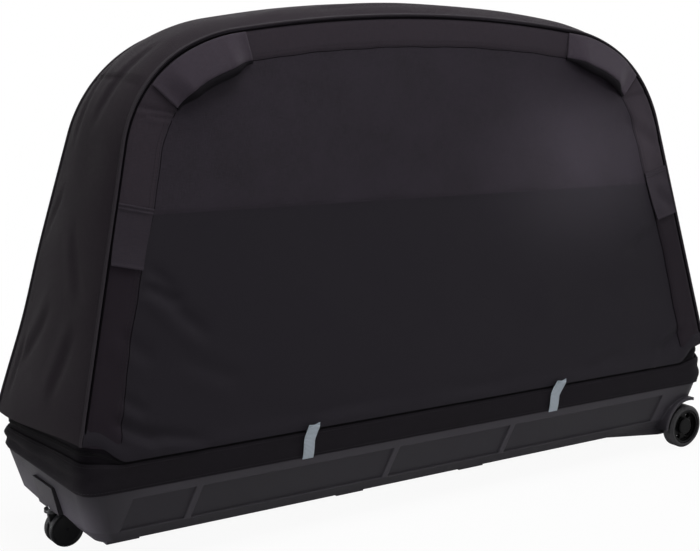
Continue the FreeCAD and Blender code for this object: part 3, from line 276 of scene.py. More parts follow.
def outline(t, inset):
    """(x, up) and normal of the cover's edge, t metres from the middle of its top and moved in by inset."""
    t = np.asarray(t, float)
    flip = np.where(t < 0, -1.0, 1.0)
    d = np.abs(t)
    ends = np.cumsum([TOP_RADIUS * TOP_TURN, SHOULDER_RADIUS * (SHOULDER_TURN - TOP_TURN),
                      CORNER_RADIUS * (CORNER_TURN - SHOULDER_TURN)])
    on_top, on_shoulder = d < ends[0], d < ends[1]
    turn = np.where(on_top, d / TOP_RADIUS,
                    np.where(on_shoulder, TOP_TURN + (d - ends[0]) / SHOULDER_RADIUS,
                             np.minimum(SHOULDER_TURN + (d - ends[1]) / CORNER_RADIUS, CORNER_TURN)))
    radius = np.where(on_top, TOP_RADIUS, np.where(on_shoulder, SHOULDER_RADIUS, CORNER_RADIUS)) - inset
    top = np.array([0, DOME_HEIGHT - TOP_RADIUS])
    shoulder = top + (TOP_RADIUS - SHOULDER_RADIUS) * toward(TOP_TURN)
    corner = shoulder + (SHOULDER_RADIUS - CORNER_RADIUS) * toward(SHOULDER_TURN)
    centre = np.where(on_top[..., None], top, np.where(on_shoulder[..., None], shoulder, corner))
    normal = np.stack([np.sin(turn), np.cos(turn)], -1)
    spot = centre + radius[..., None] * normal
    run = np.maximum(d - ends[2], 0)
    spot = spot + run[..., None] * np.array([math.cos(CORNER_TURN), -math.sin(CORNER_TURN)])
    return (spot[..., 0] * flip, spot[..., 1]), (normal[..., 0] * flip, normal[..., 1])


def side_z(z):
    """How far along the outline the straight side passes the height z."""
    return SIDE_START + (SIDE_TOP - (z - DOME_FOOT) / LEAN_COS) / math.sin(CORNER_TURN)


def seam_step(x):
    """0 along the sides, 1 at the ends, where the seam runs higher."""
    return smooth(np.abs(x), STEP_START, STEP_STOP)


def slider_run(x, y):
    """1 along the stretch of the right end that the zipper's sliders run on, 0 away from it."""
    return seam_step(x) * (np.asarray(x) > 0) * (1 - smooth(np.abs(y), SLIDER_HALF, SLIDER_FADE))


def seam_height(x, y, along, rise, fall, level):
    """Height of one of the seam's edges, which fall along the ends from the front to the back."""
    edge = along + seam_step(x) * (rise - fall * smooth(y, -END_HALF, END_HALF))
    return edge + slider_run(x, y) * (level - edge)


def cover_edge(x, y):
    """Height of the cover's lower edge."""
    return seam_height(x, y, *COVER_SEAM)


def skirt_edge(x, y):
    """Height of the skirt's upper edge."""
    return seam_height(x, y, *SKIRT_SEAM)


def coil_line(x, y):
    """Height of the zipper's middle."""
    return (cover_edge(x, y) + skirt_edge(x, y)) / 2


class Side:
    """One big side of the cover. Front faces the camera, back is its half turn."""

    def __init__(self, name, turn):
        self.name = name
        self.turn = turn
        self.edge_y = -turn * PANEL_HALF
        self.end = float(side_z(cover_edge(RING_LENGTH, self.edge_y)))

    def draw_in(self, t):
        """How far the edge is drawn in at one end of the back, where the cloth sags."""
        return SAG_DEPTH * bump(t, SAG_PLACE, SAG_WIDTH) * (self.turn < 0)

    def place(self, x, up, out):
        """World places of points at x, up along the panel, and out from it."""
        y = -PANEL_HALF + up * LEAN_SIN - out * LEAN_COS
        z = DOME_FOOT + up * LEAN_COS + out * LEAN_SIN
        return pair(self.turn * x, self.turn * y, z)

    def along(self, t, inset, out):
        """World places at t along the edge, inset from it, and out from the panel's relief."""
        t, inset, out = spread(t, inset, out)
        (x, up), _ = outline(t, inset + self.draw_in(t))
        return self.place(x, up, out + self.relief(x, up))

    def relief(self, x, up):
        """How far the cloth stands out of its plane: fullness, soft waves and creases."""
        z = DOME_FOOT + up * LEAN_COS
        arch = np.sin(np.clip((z - FULL_FOOT) / FULL_TALL, 0, 1) * math.pi)
        full = FULL_DEPTH * np.clip(1 - (x / FULL_HALF) ** 2, 0, 1) * arch
        broad_depth, short_depth = 0.0011, 0.0007
        broad = broad_depth * np.sin(7.1 * x + 3.3 * z + 0.5) * np.sin(5.3 * z - 2.9 * x + 1.0)
        short = short_depth * np.sin(17 * x - 9 * z) * np.sin(13 * z + 6 * x + 2)
        from_side = SIDE_FOOT - np.abs(x) - SIDE_SLOPE * up
        calm_at_edges = smooth(from_side, 0.0, 0.05) * smooth(z, 0.19, 0.25)
        total = (full + (broad + short)) * calm_at_edges
        for fold in CREASES:
            total = total + crease(x, z, *fold)
        return total


def crease(x, z, x1, z1, x2, z2, width, height):
    """A fold line from one point to the other, fading at its ends."""
    dx, dz = x2 - x1, z2 - z1
    run = math.hypot(dx, dz)
    u = ((x - x1) * dx + (z - z1) * dz) / run ** 2
    across = ((x - x1) * dz - (z - z1) * dx) / run
    fade = smooth(u, -0.25, 0.25) * (1 - smooth(u, 0.75, 1.25))
    dip = np.exp(-(across / width) ** 2) - 0.55 * np.exp(-((across - 1.7 * width) / (1.2 * width)) ** 2)
    return -height * dip * fade


# Creases of the panel: both ends as x and z, half width and depth
CREASES = [
    (-0.578, 0.759, -0.514, 0.750, 0.0040, 0.0032), (-0.561, 0.746, -0.514, 0.739, 0.0040, 0.0026),
    (-0.585, 0.470, -0.522, 0.440, 0.011, 0.0042), (-0.560, 0.452, -0.482, 0.382, 0.013, 0.0040),
    (-0.580, 0.500, -0.536, 0.465, 0.010, 0.0026), (-0.655, 0.258, -0.585, 0.216, 0.010, 0.0052),
    (-0.642, 0.296, -0.604, 0.268, 0.011, 0.0030), (-0.600, 0.232, -0.500, 0.206, 0.010, 0.0036),
    (-0.520, 0.340, -0.430, 0.300, 0.016, 0.0022), (-0.640, 0.400, -0.585, 0.350, 0.014, 0.0024),
    (0.578, 0.759, 0.514, 0.750, 0.0045, 0.0022), (0.578, 0.480, 0.515, 0.440, 0.012, 0.0028),
    (0.655, 0.262, 0.585, 0.222, 0.011, 0.0034), (0.470, 0.235, 0.360, 0.208, 0.010, 0.0016),
    (0.600, 0.655, 0.520, 0.700, 0.014, 0.0026), (0.640, 0.520, 0.590, 0.560, 0.012, 0.0022),
    (-0.30, 0.214, -0.16, 0.226, 0.012, 0.0012), (0.02, 0.222, 0.16, 0.212, 0.012, 0.0012),
]
FRONT = Side("front", 1)
BACK = Side("back", -1)
SEAM_END = FRONT.end


def ring(count):
    """(x, y, normal x, normal y, way) round the tub's plan, starting at the middle of the back."""
    half_x, half_y = RING_LENGTH - RING_CORNER, RING_WIDTH - RING_CORNER
    arc = math.pi / 2 * RING_CORNER
    runs = [0, half_x, arc, 2 * half_y, arc, 2 * half_x, arc, 2 * half_y, arc, half_x]
    stops = np.cumsum(runs)
    way = np.linspace(0, stops[-1], count)
    turn = np.interp(way, stops, math.pi / 2 * np.array([0, 0, 1, 1, 2, 2, 3, 3, 4, 4]))
    nx, ny = np.sin(turn), np.cos(turn)
    x = np.interp(way, stops, half_x * np.array([0, 1, 1, 1, 1, -1, -1, -1, -1, 0])) + RING_CORNER * nx
    y = np.interp(way, stops, half_y * np.array([1, 1, 1, -1, -1, -1, -1, 1, 1, 1])) + RING_CORNER * ny
    return x, y, nx, ny, way


# Finishes

class Wire:
    """A value in a node tree. Sums and products with it add Math nodes."""

    def __init__(self, owner, socket):
        self.owner = owner
        self.socket = socket

    def __add__(self, other):
        return self.owner.math("ADD", self, other)

    def __sub__(self, other):
        return self.owner.math("SUBTRACT", self, other)

    def __rsub__(self, other):
        return self.owner.math("SUBTRACT", other, self)

    def __mul__(self, other):
        return self.owner.math("MULTIPLY", self, other)

    __radd__ = __add__
    __rmul__ = __mul__


class Nodes:
    """Adds nodes to the tree of a material or of the world."""

    def __init__(self, tree):
        self.tree = tree

    def node(self, kind, settings, sockets, output=0):
        """Any shader node: its settings first, then the values or links of its sockets."""
        made = self.tree.nodes.new("ShaderNode" + kind)
        for key, value in settings.items():
            setattr(made, key, value)
        for key, value in sockets.items():
            self.feed(made.inputs[key], value)
        return Wire(self, made.outputs[output])

    def feed(self, socket, value):
        if isinstance(value, Wire):
            self.tree.links.new(value.socket, socket)
        else:
            socket.default_value = value

    def math(self, operation, *values):
        return self.node("Math", {"operation": operation}, dict(enumerate(values)))


class Finish(Nodes):
    """A procedural material built on one Principled shader."""

    def __init__(self, name, **constants):
        self.material = bpy.data.materials.new(name)
        self.material.use_nodes = True
        super().__init__(self.material.node_tree)
        self.shader = self.tree.nodes["Principled BSDF"]
        self.set(**constants)

    def set(self, **values):
        """Feeds the shader's own inputs."""
        for key, value in values.items():
            self.feed(self.shader.inputs[key.replace("_", " ").title().replace("Ior", "IOR")], value)

    def place(self):
        """(x, y, z) of the piece's own coordinates, and the vector."""
        spot = self.node("TexCoord", {}, {}, "Object")
        parts = [self.node("SeparateXYZ", {}, {"Vector": spot}, axis) for axis in "XYZ"]
        return (*parts, spot)

    def cut(self):
        """(u, v) on the flat cloth in metres, and the vector."""
        spot = self.node("UVMap", {}, {}, "UV")
        parts = [self.node("SeparateXYZ", {}, {"Vector": spot}, axis) for axis in "XY"]
        return (*parts, spot)

    def stretch(self, spot, scale):
        return self.node("Mapping", {}, {"Vector": spot, "Scale": scale})

    def noise(self, spot, scale, detail=3.0, rough=0.55):
        sockets = {"Vector": spot, "Scale": scale, "Detail": detail, "Roughness": rough}
        return self.node("TexNoise", {}, sockets, "Fac")

    def wave(self, value, period):
        """Goes from -1 to 1 and back once each period."""
        return self.math("SINE", value * (2 * math.pi / period))

    def blend(self, factor, low, high):
        """A colour between low and high."""
        return self.node("Mix", {"data_type": "RGBA"}, {0: factor, 6: low, 7: high}, 2)

    def limit(self, value, low, high, low_out=0.0, high_out=1.0):
        return self.node("MapRange", {"clamp": True, "interpolation_type": "SMOOTHSTEP"},
                         {0: value, 1: low, 2: high, 3: low_out, 4: high_out})

    def relief(self, height, distance, strength, normal=None):
        """A Bump node on the shader's Normal."""
        sockets = {"Height": height, "Distance": distance, "Strength": strength}
        if normal is not None:
            sockets["Normal"] = normal
        self.set(normal=self.node("Bump", {}, sockets))


def woven(name, dark, light, thread=0.0011, rough=0.82, sheen=0.10, nap=0.5, lower=None, shine=0.12):
    """Woven polyester cloth: crossing threads, slubs and mottling. Below the seam it has the lower colour."""
    cloth = Finish(name, roughness=rough, sheen_weight=sheen, sheen_roughness=0.45, specular_ior_level=shine)
    u, v, flat = cloth.cut()
    warp, weft = cloth.wave(u, thread), cloth.wave(v, thread)
    threads = warp * weft * 0.5 + 0.5
    slub = cloth.noise(cloth.stretch(flat, (900, 60, 1)), 1.0, 2.0)
    slub_across = cloth.noise(cloth.stretch(flat, (60, 900, 1)), 1.0, 2.0)
    mottle = cloth.noise(flat, 9.0, 4.0, 0.6)
    tone = cloth.limit(slub * 0.3 + slub_across * 0.3 + mottle * 0.4 + threads * 0.12, 0.36, 0.70)
    colour = cloth.blend(tone, dark, light)
    if lower is not None:
        above = cloth.limit(v - u * COLOUR_SLOPE, COLOUR_SEAM - COLOUR_BLUR, COLOUR_SEAM + COLOUR_BLUR)
        colour = cloth.blend(above, lower, colour)
    cloth.set(base_color=colour, roughness=cloth.limit(mottle, 0.3, 0.75, rough - 0.07, rough + 0.07))
    cloth.relief(threads * 0.6 + slub * nap + slub_across * nap, 0.0006, 0.7)
    return cloth.material


def moulded(name, dark, light, grain=0.0013, depth=0.00022, rough=0.50, edge=0.0035, edge_light=0.5,
            rib_highlight_colour=None, shine=0.22):
    """Moulded plastic: fine leather-like grain, softened edges that are a little paler, faint scuffs.

    Where the rib colour is given, the ribs and lip of the tub's long sides get it as a painted highlight.
    """
    plastic = Finish(name, roughness=rough, specular_ior_level=shine)
    x, y, z, spot = plastic.place()
    cells = plastic.node("TexVoronoi", {"feature": "SMOOTH_F1"},
                         {"Vector": spot, "Scale": 1 / grain, "Smoothness": 0.6}, "Distance")
    cloud = plastic.noise(spot, 7.0, 5.0)
    streak = plastic.noise(plastic.stretch(spot, (3, 30, 60)), 5.0, 6.0, 0.7)
    scuff = plastic.limit(streak, 0.60, 0.80)
    soft = plastic.node("Bevel", {"samples": 6}, {"Radius": edge})
    sharp = plastic.node("NewGeometry", {}, {}, "Normal")
    turn = plastic.node("VectorMath", {"operation": "DOT_PRODUCT"}, {0: soft, 1: sharp}, "Value")
    patchy = plastic.limit(plastic.noise(spot, 60.0, 3.0), 0.30, 0.70, 0.45, 1.0)
    # Paler towards the softened edges, in patches.
    paler_edges = plastic.limit(turn, 0.995, 0.90) * patchy
    colour = plastic.blend(cloud * 0.8 + scuff * 0.35, dark, light)
    # Painted highlight on the ribs and lip of the long walls, fading at the ends and the bottom.
    if rib_highlight_colour is not None:
        wall = plastic.math("MINIMUM", (z - TUB_KNUCKLE) * WALL_FLARE + KNUCKLE_HALF, TUB_HALF)
        sunk = wall - plastic.math("ABSOLUTE", y)
        inner = plastic.limit(plastic.math("ABSOLUTE", x), 0.58, 0.69, 1.0, 0.15)
        rib_highlight_mask = plastic.limit(sunk, 0.0017, 0.0004) * inner * plastic.limit(cloud, 0.25, 0.65, 0.7, 1.0)
        rib_highlight_mask = rib_highlight_mask * plastic.limit(z, 0.045, 0.075)
        colour = plastic.blend(rib_highlight_mask, colour, rib_highlight_colour)
    paler = tuple(min(c * 2.0, 1.0) for c in light[:3]) + (1.0,)
    plastic.set(base_color=plastic.blend(paler_edges * edge_light, colour, paler),
                roughness=plastic.limit(cloud - scuff * 0.3, 0.2, 0.8, rough - 0.08, rough + 0.10))
    plastic.relief(cells + plastic.noise(spot, 2.4 / grain, 2.0) * 0.4, depth, 0.8, soft)
    return plastic.material


def metal(name, colour, rough, brush, metallic=1.0):
    """Drawn or machined metal with fine lines along its length and soft edges."""
    bar = Finish(name, metallic=metallic, roughness=rough)
    _, _, _, spot = bar.place()
    lines = bar.noise(bar.stretch(spot, brush), 3.0, 4.0, 0.6)
    cloud = bar.noise(spot, 12.0, 4.0)
    darker = tuple(c * 0.78 for c in colour[:3]) + (1.0,)
    bar.set(base_color=bar.blend(bar.limit(lines * 0.6 + cloud * 0.4, 0.3, 0.7), darker, colour),
            roughness=bar.limit(lines, 0.3, 0.7, rough - 0.06, rough + 0.10))
    bar.relief(lines, 0.00008, 0.5, bar.node("Bevel", {"samples": 4}, {"Radius": 0.0008}))
    return bar.material


def rubber(name, dark, light):
    """Tyre rubber: matt, with fine mould lines round it and dusty wear."""
    tyre = Finish(name, roughness=0.78)
    _, y, _, spot = tyre.place()
    dust = tyre.limit(tyre.noise(spot, 45.0, 6.0, 0.65), 0.42, 0.70)
    lines = tyre.wave(y, 0.0022)
    tyre.set(base_color=tyre.blend(dust, dark, light), roughness=tyre.limit(dust, 0, 1, 0.66, 0.86))
    tyre.relief(lines * 0.3 + tyre.noise(spot, 900.0, 2.0), 0.0003, 0.6)
    return tyre.material


def ribbed(name, dark, light):
    """Woven webbing: ribs across the strap and fine yarns along it."""
    rib_pitch, yarn_pitch = 0.0024, 0.0016
    strap = Finish(name, roughness=0.72, sheen_weight=0.12)
    u, v, flat = strap.cut()
    ribs = strap.wave(v, rib_pitch) * 0.5 + 0.5
    yarn = strap.wave(u, yarn_pitch) * 0.5 + 0.5
    fuzz = strap.noise(flat, 500.0, 3.0)
    tone = strap.limit(ribs * 0.45 + yarn * 0.25 + fuzz * 0.5, 0.25, 0.85)
    strap.set(base_color=strap.blend(tone, dark, light),
              roughness=strap.limit(fuzz, 0.3, 0.7, 0.66, 0.80))
    strap.relief(ribs + yarn * 0.4 + fuzz * 0.3, 0.0006, 0.8)
    return strap.material


def cordlike(name, dark, light, rough=0.6, twist=0.004, shine=0.12):
    """A cloth-covered cord or thread with a fine diagonal twist."""
    cord = Finish(name, roughness=rough, specular_ior_level=shine)
    x, y, z, spot = cord.place()
    twine = cord.wave(x + y + z, twist) * 0.5 + 0.5
    fuzz = cord.noise(spot, 300.0, 3.0)
    cord.set(base_color=cord.blend(cord.limit(twine * 0.5 + fuzz * 0.6, 0.2, 0.9), dark, light),
             roughness=cord.limit(fuzz, 0.3, 0.7, rough - 0.06, rough + 0.08))
    cord.relief(twine * 0.6 + fuzz, 0.0004, 0.6)
    return cord.material


COVER_CLOTH = woven("cover_cloth", paint(36, 32, 38), paint(48, 43, 51), lower=paint(35, 32, 38), rough=0.44,
                    sheen=0.02, shine=0.06)
GUSSET_CLOTH = woven("gusset_cloth", paint(24, 17, 24), paint(37, 30, 37), sheen=0.05, nap=0.7)
BAND_CLOTH = woven("band_cloth", paint(42, 36, 43), paint(52, 46, 53), thread=0.0014, sheen=0.04,
                   lower=paint(31, 25, 32))
PATCH_CLOTH = woven("patch_cloth", paint(40, 35, 42), paint(51, 46, 53), thread=0.0018, sheen=0.03)
HANDLE_CLOTH = woven("handle_cloth", paint(51, 45, 53), paint(64, 57, 66), thread=0.0014, sheen=0.08)
# Near-black cloth for the handle's binding, dark enough to stand for the shade under the handle: partly real,
# partly painted shade.
BINDING_AND_SHADE = woven("handle_binding", paint(16, 14, 17), paint(24, 22, 26), sheen=0.0, shine=0.05)
SKIRT_CLOTH = woven("skirt_cloth", paint(19, 16, 20), paint(30, 27, 32), sheen=0.02, nap=0.8, shine=0.08)
TAPE_CLOTH = woven("zip_tape_cloth", paint(13, 11, 14), paint(23, 20, 25), thread=0.0020, rough=0.80,
                   sheen=0.02, shine=0.05)
PIPING = cordlike("piping_cord", paint(38, 34, 39), paint(52, 48, 53))
# Near-black cord laid in the groove beside the piping and along the band's seam: painted shade.
GROOVE_SHADE = cordlike("seam_groove", paint(9, 8, 10), paint(16, 14, 17), 0.95, shine=0.02)
THREAD = cordlike("stitch_thread", paint(28, 26, 30), paint(46, 43, 48), 0.55, 0.0012)
COIL = cordlike("zip_coil", paint(11, 10, 12), paint(24, 22, 26), 0.55, 0.0030, 0.1)
LOOP_WEBBING = ribbed("loop_webbing", paint(136, 146, 156), paint(182, 192, 202))
PAD_CLOTH = woven("pad_cloth", paint(52, 50, 54), paint(66, 63, 68), thread=0.0024, rough=0.88, sheen=0.2)
# The tub's ribs and lip carry a painted highlight in the paler rib colour.
TUB = moulded("tub_plastic", paint(34, 32, 37), paint(46, 43, 49), edge=0.0055, rib_highlight_colour=paint(58, 55, 61))
HUB = moulded("hub_plastic", paint(7, 7, 8), paint(12, 12, 13), grain=0.0010, depth=0.00008, rough=0.26,
              edge=0.0012, shine=0.10)
HOUSING = moulded("housing_plastic", paint(29, 27, 31), paint(40, 37, 42), edge=0.0020, edge_light=0.3)
CASTER = moulded("caster_plastic", paint(18, 18, 20), paint(27, 27, 29), grain=0.0010, depth=0.0001,
                 rough=0.34, edge=0.0012)
KNOB = moulded("knob_plastic", paint(30, 30, 32), paint(42, 42, 44), depth=0.00012, rough=0.45, edge=0.0012)
TYRE = rubber("tyre_rubber", paint(24, 23, 26), paint(42, 40, 43))
BLACK_STEEL = metal("black_steel", paint(38, 38, 41), 0.42, (60, 600, 60))
STEEL = metal("zinc_steel", paint(176, 178, 182), 0.32, (60, 60, 600))
ZIP_METAL = metal("zip_metal", paint(58, 58, 62), 0.30, (200, 200, 200))
POLE = metal("hoop_pole", paint(70, 72, 76), 0.38, (8, 300, 8), 0.8)
FERRULE = metal("ferrule_metal", paint(168, 170, 174), 0.28, (300, 300, 12))
RAIL = metal("rail_metal", paint(150, 153, 158), 0.36, (6, 500, 500))
MOUNT = metal("mount_metal", paint(120, 124, 130), 0.42, (90, 90, 90))

NODE_FINISH = {
    TUB: ["base_tub"],
    HOUSING: ["caster_housing"],
    CASTER: ["caster_fork", "caster_disc_front", "caster_disc_back"],
    HUB: ["wheel_rim_front", "wheel_rim_back", "wheel_cap_front", "wheel_cap_back"],
    TYRE: ["wheel_tyre_front", "wheel_tyre_back"],
    STEEL: ["wheel_bearings_front", "wheel_bearings_back", "wheel_axle_front", "wheel_axle_back",
            "caster_bush", "caster_stem", "rail_screws"],
    BLACK_STEEL: ["caster_axle"],
    ZIP_METAL: ["zip_slider_front", "zip_slider_back", "zip_pull_front", "zip_pull_back"],
    POLE: ["front_hoop_arch", "back_hoop_arch", "front_hoop_legs", "back_hoop_legs", "spreader_bars"],
    FERRULE: ["front_hoop_ferrules", "back_hoop_ferrules"],
    RAIL: ["frame_rail"],
    MOUNT: ["fork_mount", "rear_mount"],
    KNOB: ["fork_knob", "rear_knob"],
}


def coat(piece, finish):
    """Gives a piece one finish all over."""
    piece.data.materials.clear()
    piece.data.materials.append(finish)


for node_finish, node_names in NODE_FINISH.items():
    for node_name in node_names:
        coat(nodes[node_name], node_finish)


def dress(piece, slot, finish, *replaced):
    """Gives a new piece its finish and hides the nodes it stands for. The slot is not used."""
    coat(piece, finish)
    if replaced:
        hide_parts(*replaced)


def hand_over(piece, body, slot, finish, *replaced):
    """Dresses a new piece, which rides on one body."""
    dress(piece, slot, finish, *replaced)
    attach(piece, body)


def cloth_area(spots):
    """Area of a sheet laid flat, from its grid of places."""
    across = spots[:-1, 1:] - spots[:-1, :-1]
    along = spots[1:, :-1] - spots[:-1, :-1]
    return float(np.linalg.norm(np.cross(across, along), axis=-1).sum())


def stretched(piece, flat, spots, *under):
    """Works out the area of a sheet from its spots and keeps nothing. The piece, flat and under are not used.
    """
    cloth_area(spots)


# One stitch, and rows of it

def stitch_unit():
    """One lock stitch: a thread that dips into the cloth at both ends."""
    deselect()
    bpy.ops.mesh.primitive_cylinder_add(vertices=6, radius=STITCH_RADIUS, depth=STITCH_LENGTH,
                                        rotation=(0, math.pi / 2, 0))
    unit = bpy.context.object
    bpy.ops.object.transform_apply(location=True, rotation=True)
    edit(unit, lambda: bpy.ops.mesh.subdivide(number_cuts=1))
    for corner in unit.data.vertices:
        share = 1 - 0.75 * (abs(corner.co.x) / (STITCH_LENGTH / 2)) ** 2
        corner.co.y *= share
        corner.co.z *= share
        corner.co.x += STITCH_START
    return unit


STITCH = stitch_unit()


def stitches(name, points, body, slot="band_cloth"):
    """A row of stitches along points."""
    hand_over(row_along(name, STITCH, STITCH_PITCH, points), body, slot, THREAD)


# Cover: panels, bands, patches, handles, piping

def big_panel(side):
    """The big side panel, from the zipper up to the piping."""
    columns, rows = 260, 130
    split, gap = 0.60, 0.001
    u, v = np.linspace(0, 1, columns), np.linspace(0, 1, rows)
    climb = side.end - v * (side.end - split)
    (left_x, left_up), _ = outline(-climb, gap + side.draw_in(-climb))
    (right_x, right_up), _ = outline(climb, gap + side.draw_in(climb))
    (top_x, top_up), _ = outline(-split + 2 * split * u, gap)
    low_x = left_x[0] + (right_x[0] - left_x[0]) * u
    low_up = (cover_edge(low_x, side.edge_y) - DOME_FOOT) / LEAN_COS
    low_up[0], low_up[-1] = left_up[0], right_up[0]

    def fill(low, top, left, right):
        """A smooth grid of values between four edges."""
        ruled = (1 - v)[:, None] * low + v[:, None] * top
        crossed = (1 - u) * left[:, None] + u * right[:, None]
        corners = ((1 - v)[:, None] * ((1 - u) * low[0] + u * low[-1])
                   + v[:, None] * ((1 - u) * top[0] + u * top[-1]))
        return ruled + crossed - corners

    x, up = fill(low_x, top_x, left_x, right_x), fill(low_up, top_up, left_up, right_up)
    out = side.relief(x, up)
    seam = up - COLOUR_SEAM - COLOUR_SLOPE * x
    overlap, stitch_dip, hem_puff = 0.0008, 0.0006, 0.0020
    out = out + overlap * smooth(seam, -0.001, 0.001) - stitch_dip * bump(seam, 0.004, 0.002)
    above_hem = up - low_up
    out = out + (hem_puff + hem_puff * seam_step(1.06 * x)) * bump(above_hem, 0.010, 0.014)
    spots = side.place(x, up, out)
    piece = sheet(f"{side.name}_big_panel", spots, pair(x, up), CLOTH_THICK)
    hand_over(piece, "cover", "upper_cloth", COVER_CLOTH, f"{side.name}_panel")
    stretched(piece, (1.46, 0.74), spots, f"{side.name}_hoop_arch")
    stitch_half, above_seam, stitch_out = 0.565, 0.004, 0.0006
    run = np.linspace(-stitch_half, stitch_half, 120)
    up_line = COLOUR_SEAM + COLOUR_SLOPE * run + above_seam
    points = side.place(run, up_line, side.relief(run, up_line) + stitch_out)
    stitches(f"{side.name}_panel_stitch", points, "cover", "upper_cloth")


def soft_line(places, values):
    """A smooth run through values at these distances from the middle of the top, the same on both sides."""
    fine = np.linspace(-0.05, 1.26, 640)
    raw = np.interp(np.abs(fine), places, values)
    kernel = np.hanning(41)
    rounded = np.convolve(np.pad(raw, 20, mode="edge"), kernel / kernel.sum(), mode="valid")
    return lambda t: np.interp(np.abs(t), fine, rounded)


# Insets from the outline: outer edges of band and patches, and the band's inner edge along its run
BAND_START, PATCH_START = 0.0058, 0.0050
band_inset = soft_line([0, 0.37, 0.60, 0.77, 0.88, 1.00, 1.15, 1.21],
                       [0.057, 0.056, 0.068, 0.069, 0.062, 0.059, 0.066, 0.070])


def edge_band(side):
    """The reinforcing band sewn along the edge, painted shade at its inner seam, and its rows of stitches."""
    run = np.linspace(-side.end, side.end, 460)
    share = np.linspace(0, 1, 12)
    t = run[:, None]
    waver, sewn_dip, fullness = 0.0009, 0.0012, 0.0004
    width = band_inset(run) + waver * np.sin(61 * run) * np.sin(23 * run + 1)
    inset = BAND_START + (width[:, None] - BAND_START) * share
    sewn = smooth(share, 0.90, 1.0) + smooth(share, 0.06, 0.0)
    lift = BAND_HEIGHT - sewn_dip * sewn + fullness * np.sin(share * math.pi)
    (x, up), _ = outline(t, inset)
    spots = side.along(t, inset, lift)
    band = sheet(f"{side.name}_band", spots, pair(x, up), THIN_THICK)
    hand_over(band, "cover", "band_cloth", BAND_CLOTH, f"{side.name}_edge_band")
    stretched(band, (0.072, 2.44), spots, f"{side.name}_big_panel")
    # A near-black cord along the band's inner seam: painted shade of the seam line.
    seam = round_cord(f"{side.name}_band_seam", side.along(run, width + 0.0006, 0.0002), SEAM_RADIUS, 1)
    hand_over(seam, "cover", "band_cloth", GROOVE_SHADE)
    for inset_by, name in ((0.0035, "inner"), (0.0105, "second")):
        points = side.along(run[8:-8], width[8:-8] - inset_by, BAND_HEIGHT + 0.0003)
        stitches(f"{side.name}_band_stitch_{name}", points, "cover")


def edge_patch(side, end, sign):
    """A stiff patch on the band with a double hem at its top and a loose lower edge."""
    high, low = 0.789, 0.892
    hem_height, loose_lift, lip_height, bow = 0.0013, 0.0024, 0.0010, 0.0012
    run = np.concatenate([np.linspace(high, high + 0.014, 16), np.linspace(high + 0.016, low - 0.008, 26),
                          np.linspace(low - 0.006, low, 8)])
    share = np.linspace(0, 1, 16)
    t = sign * run[:, None]
    inset = PATCH_START + (band_inset(run)[:, None] - PATCH_START) * share
    hem = bump(run, high + 0.0028, 0.0021) + bump(run, high + 0.0092, 0.0021)
    loose = smooth(run, low - 0.040, low)
    lift = PATCH_HEIGHT + hem_height * hem + loose_lift * loose + lip_height * bump(run, low - 0.002, 0.003)
    lift = lift[:, None] + bow * np.sin(share * math.pi) * loose[:, None]
    spots = side.along(t, inset, lift)
    patch = sheet(f"{side.name}_patch_{end}", spots, pair(t, inset), PATCH_THICK)
    hand_over(patch, "cover", "band_cloth", PATCH_CLOTH)
    stretched(patch, (0.064, 0.108), spots, f"{side.name}_band")
    across = np.linspace(0.007, 0.060, 30)
    for place, height in ((0.0060, 0.0034), (0.0125, 0.0036)):
        points = side.along(sign * (high + place), across, height)
        stitches(f"{side.name}_patch_{end}_stitch_{round(place * 10000)}", points, "cover")


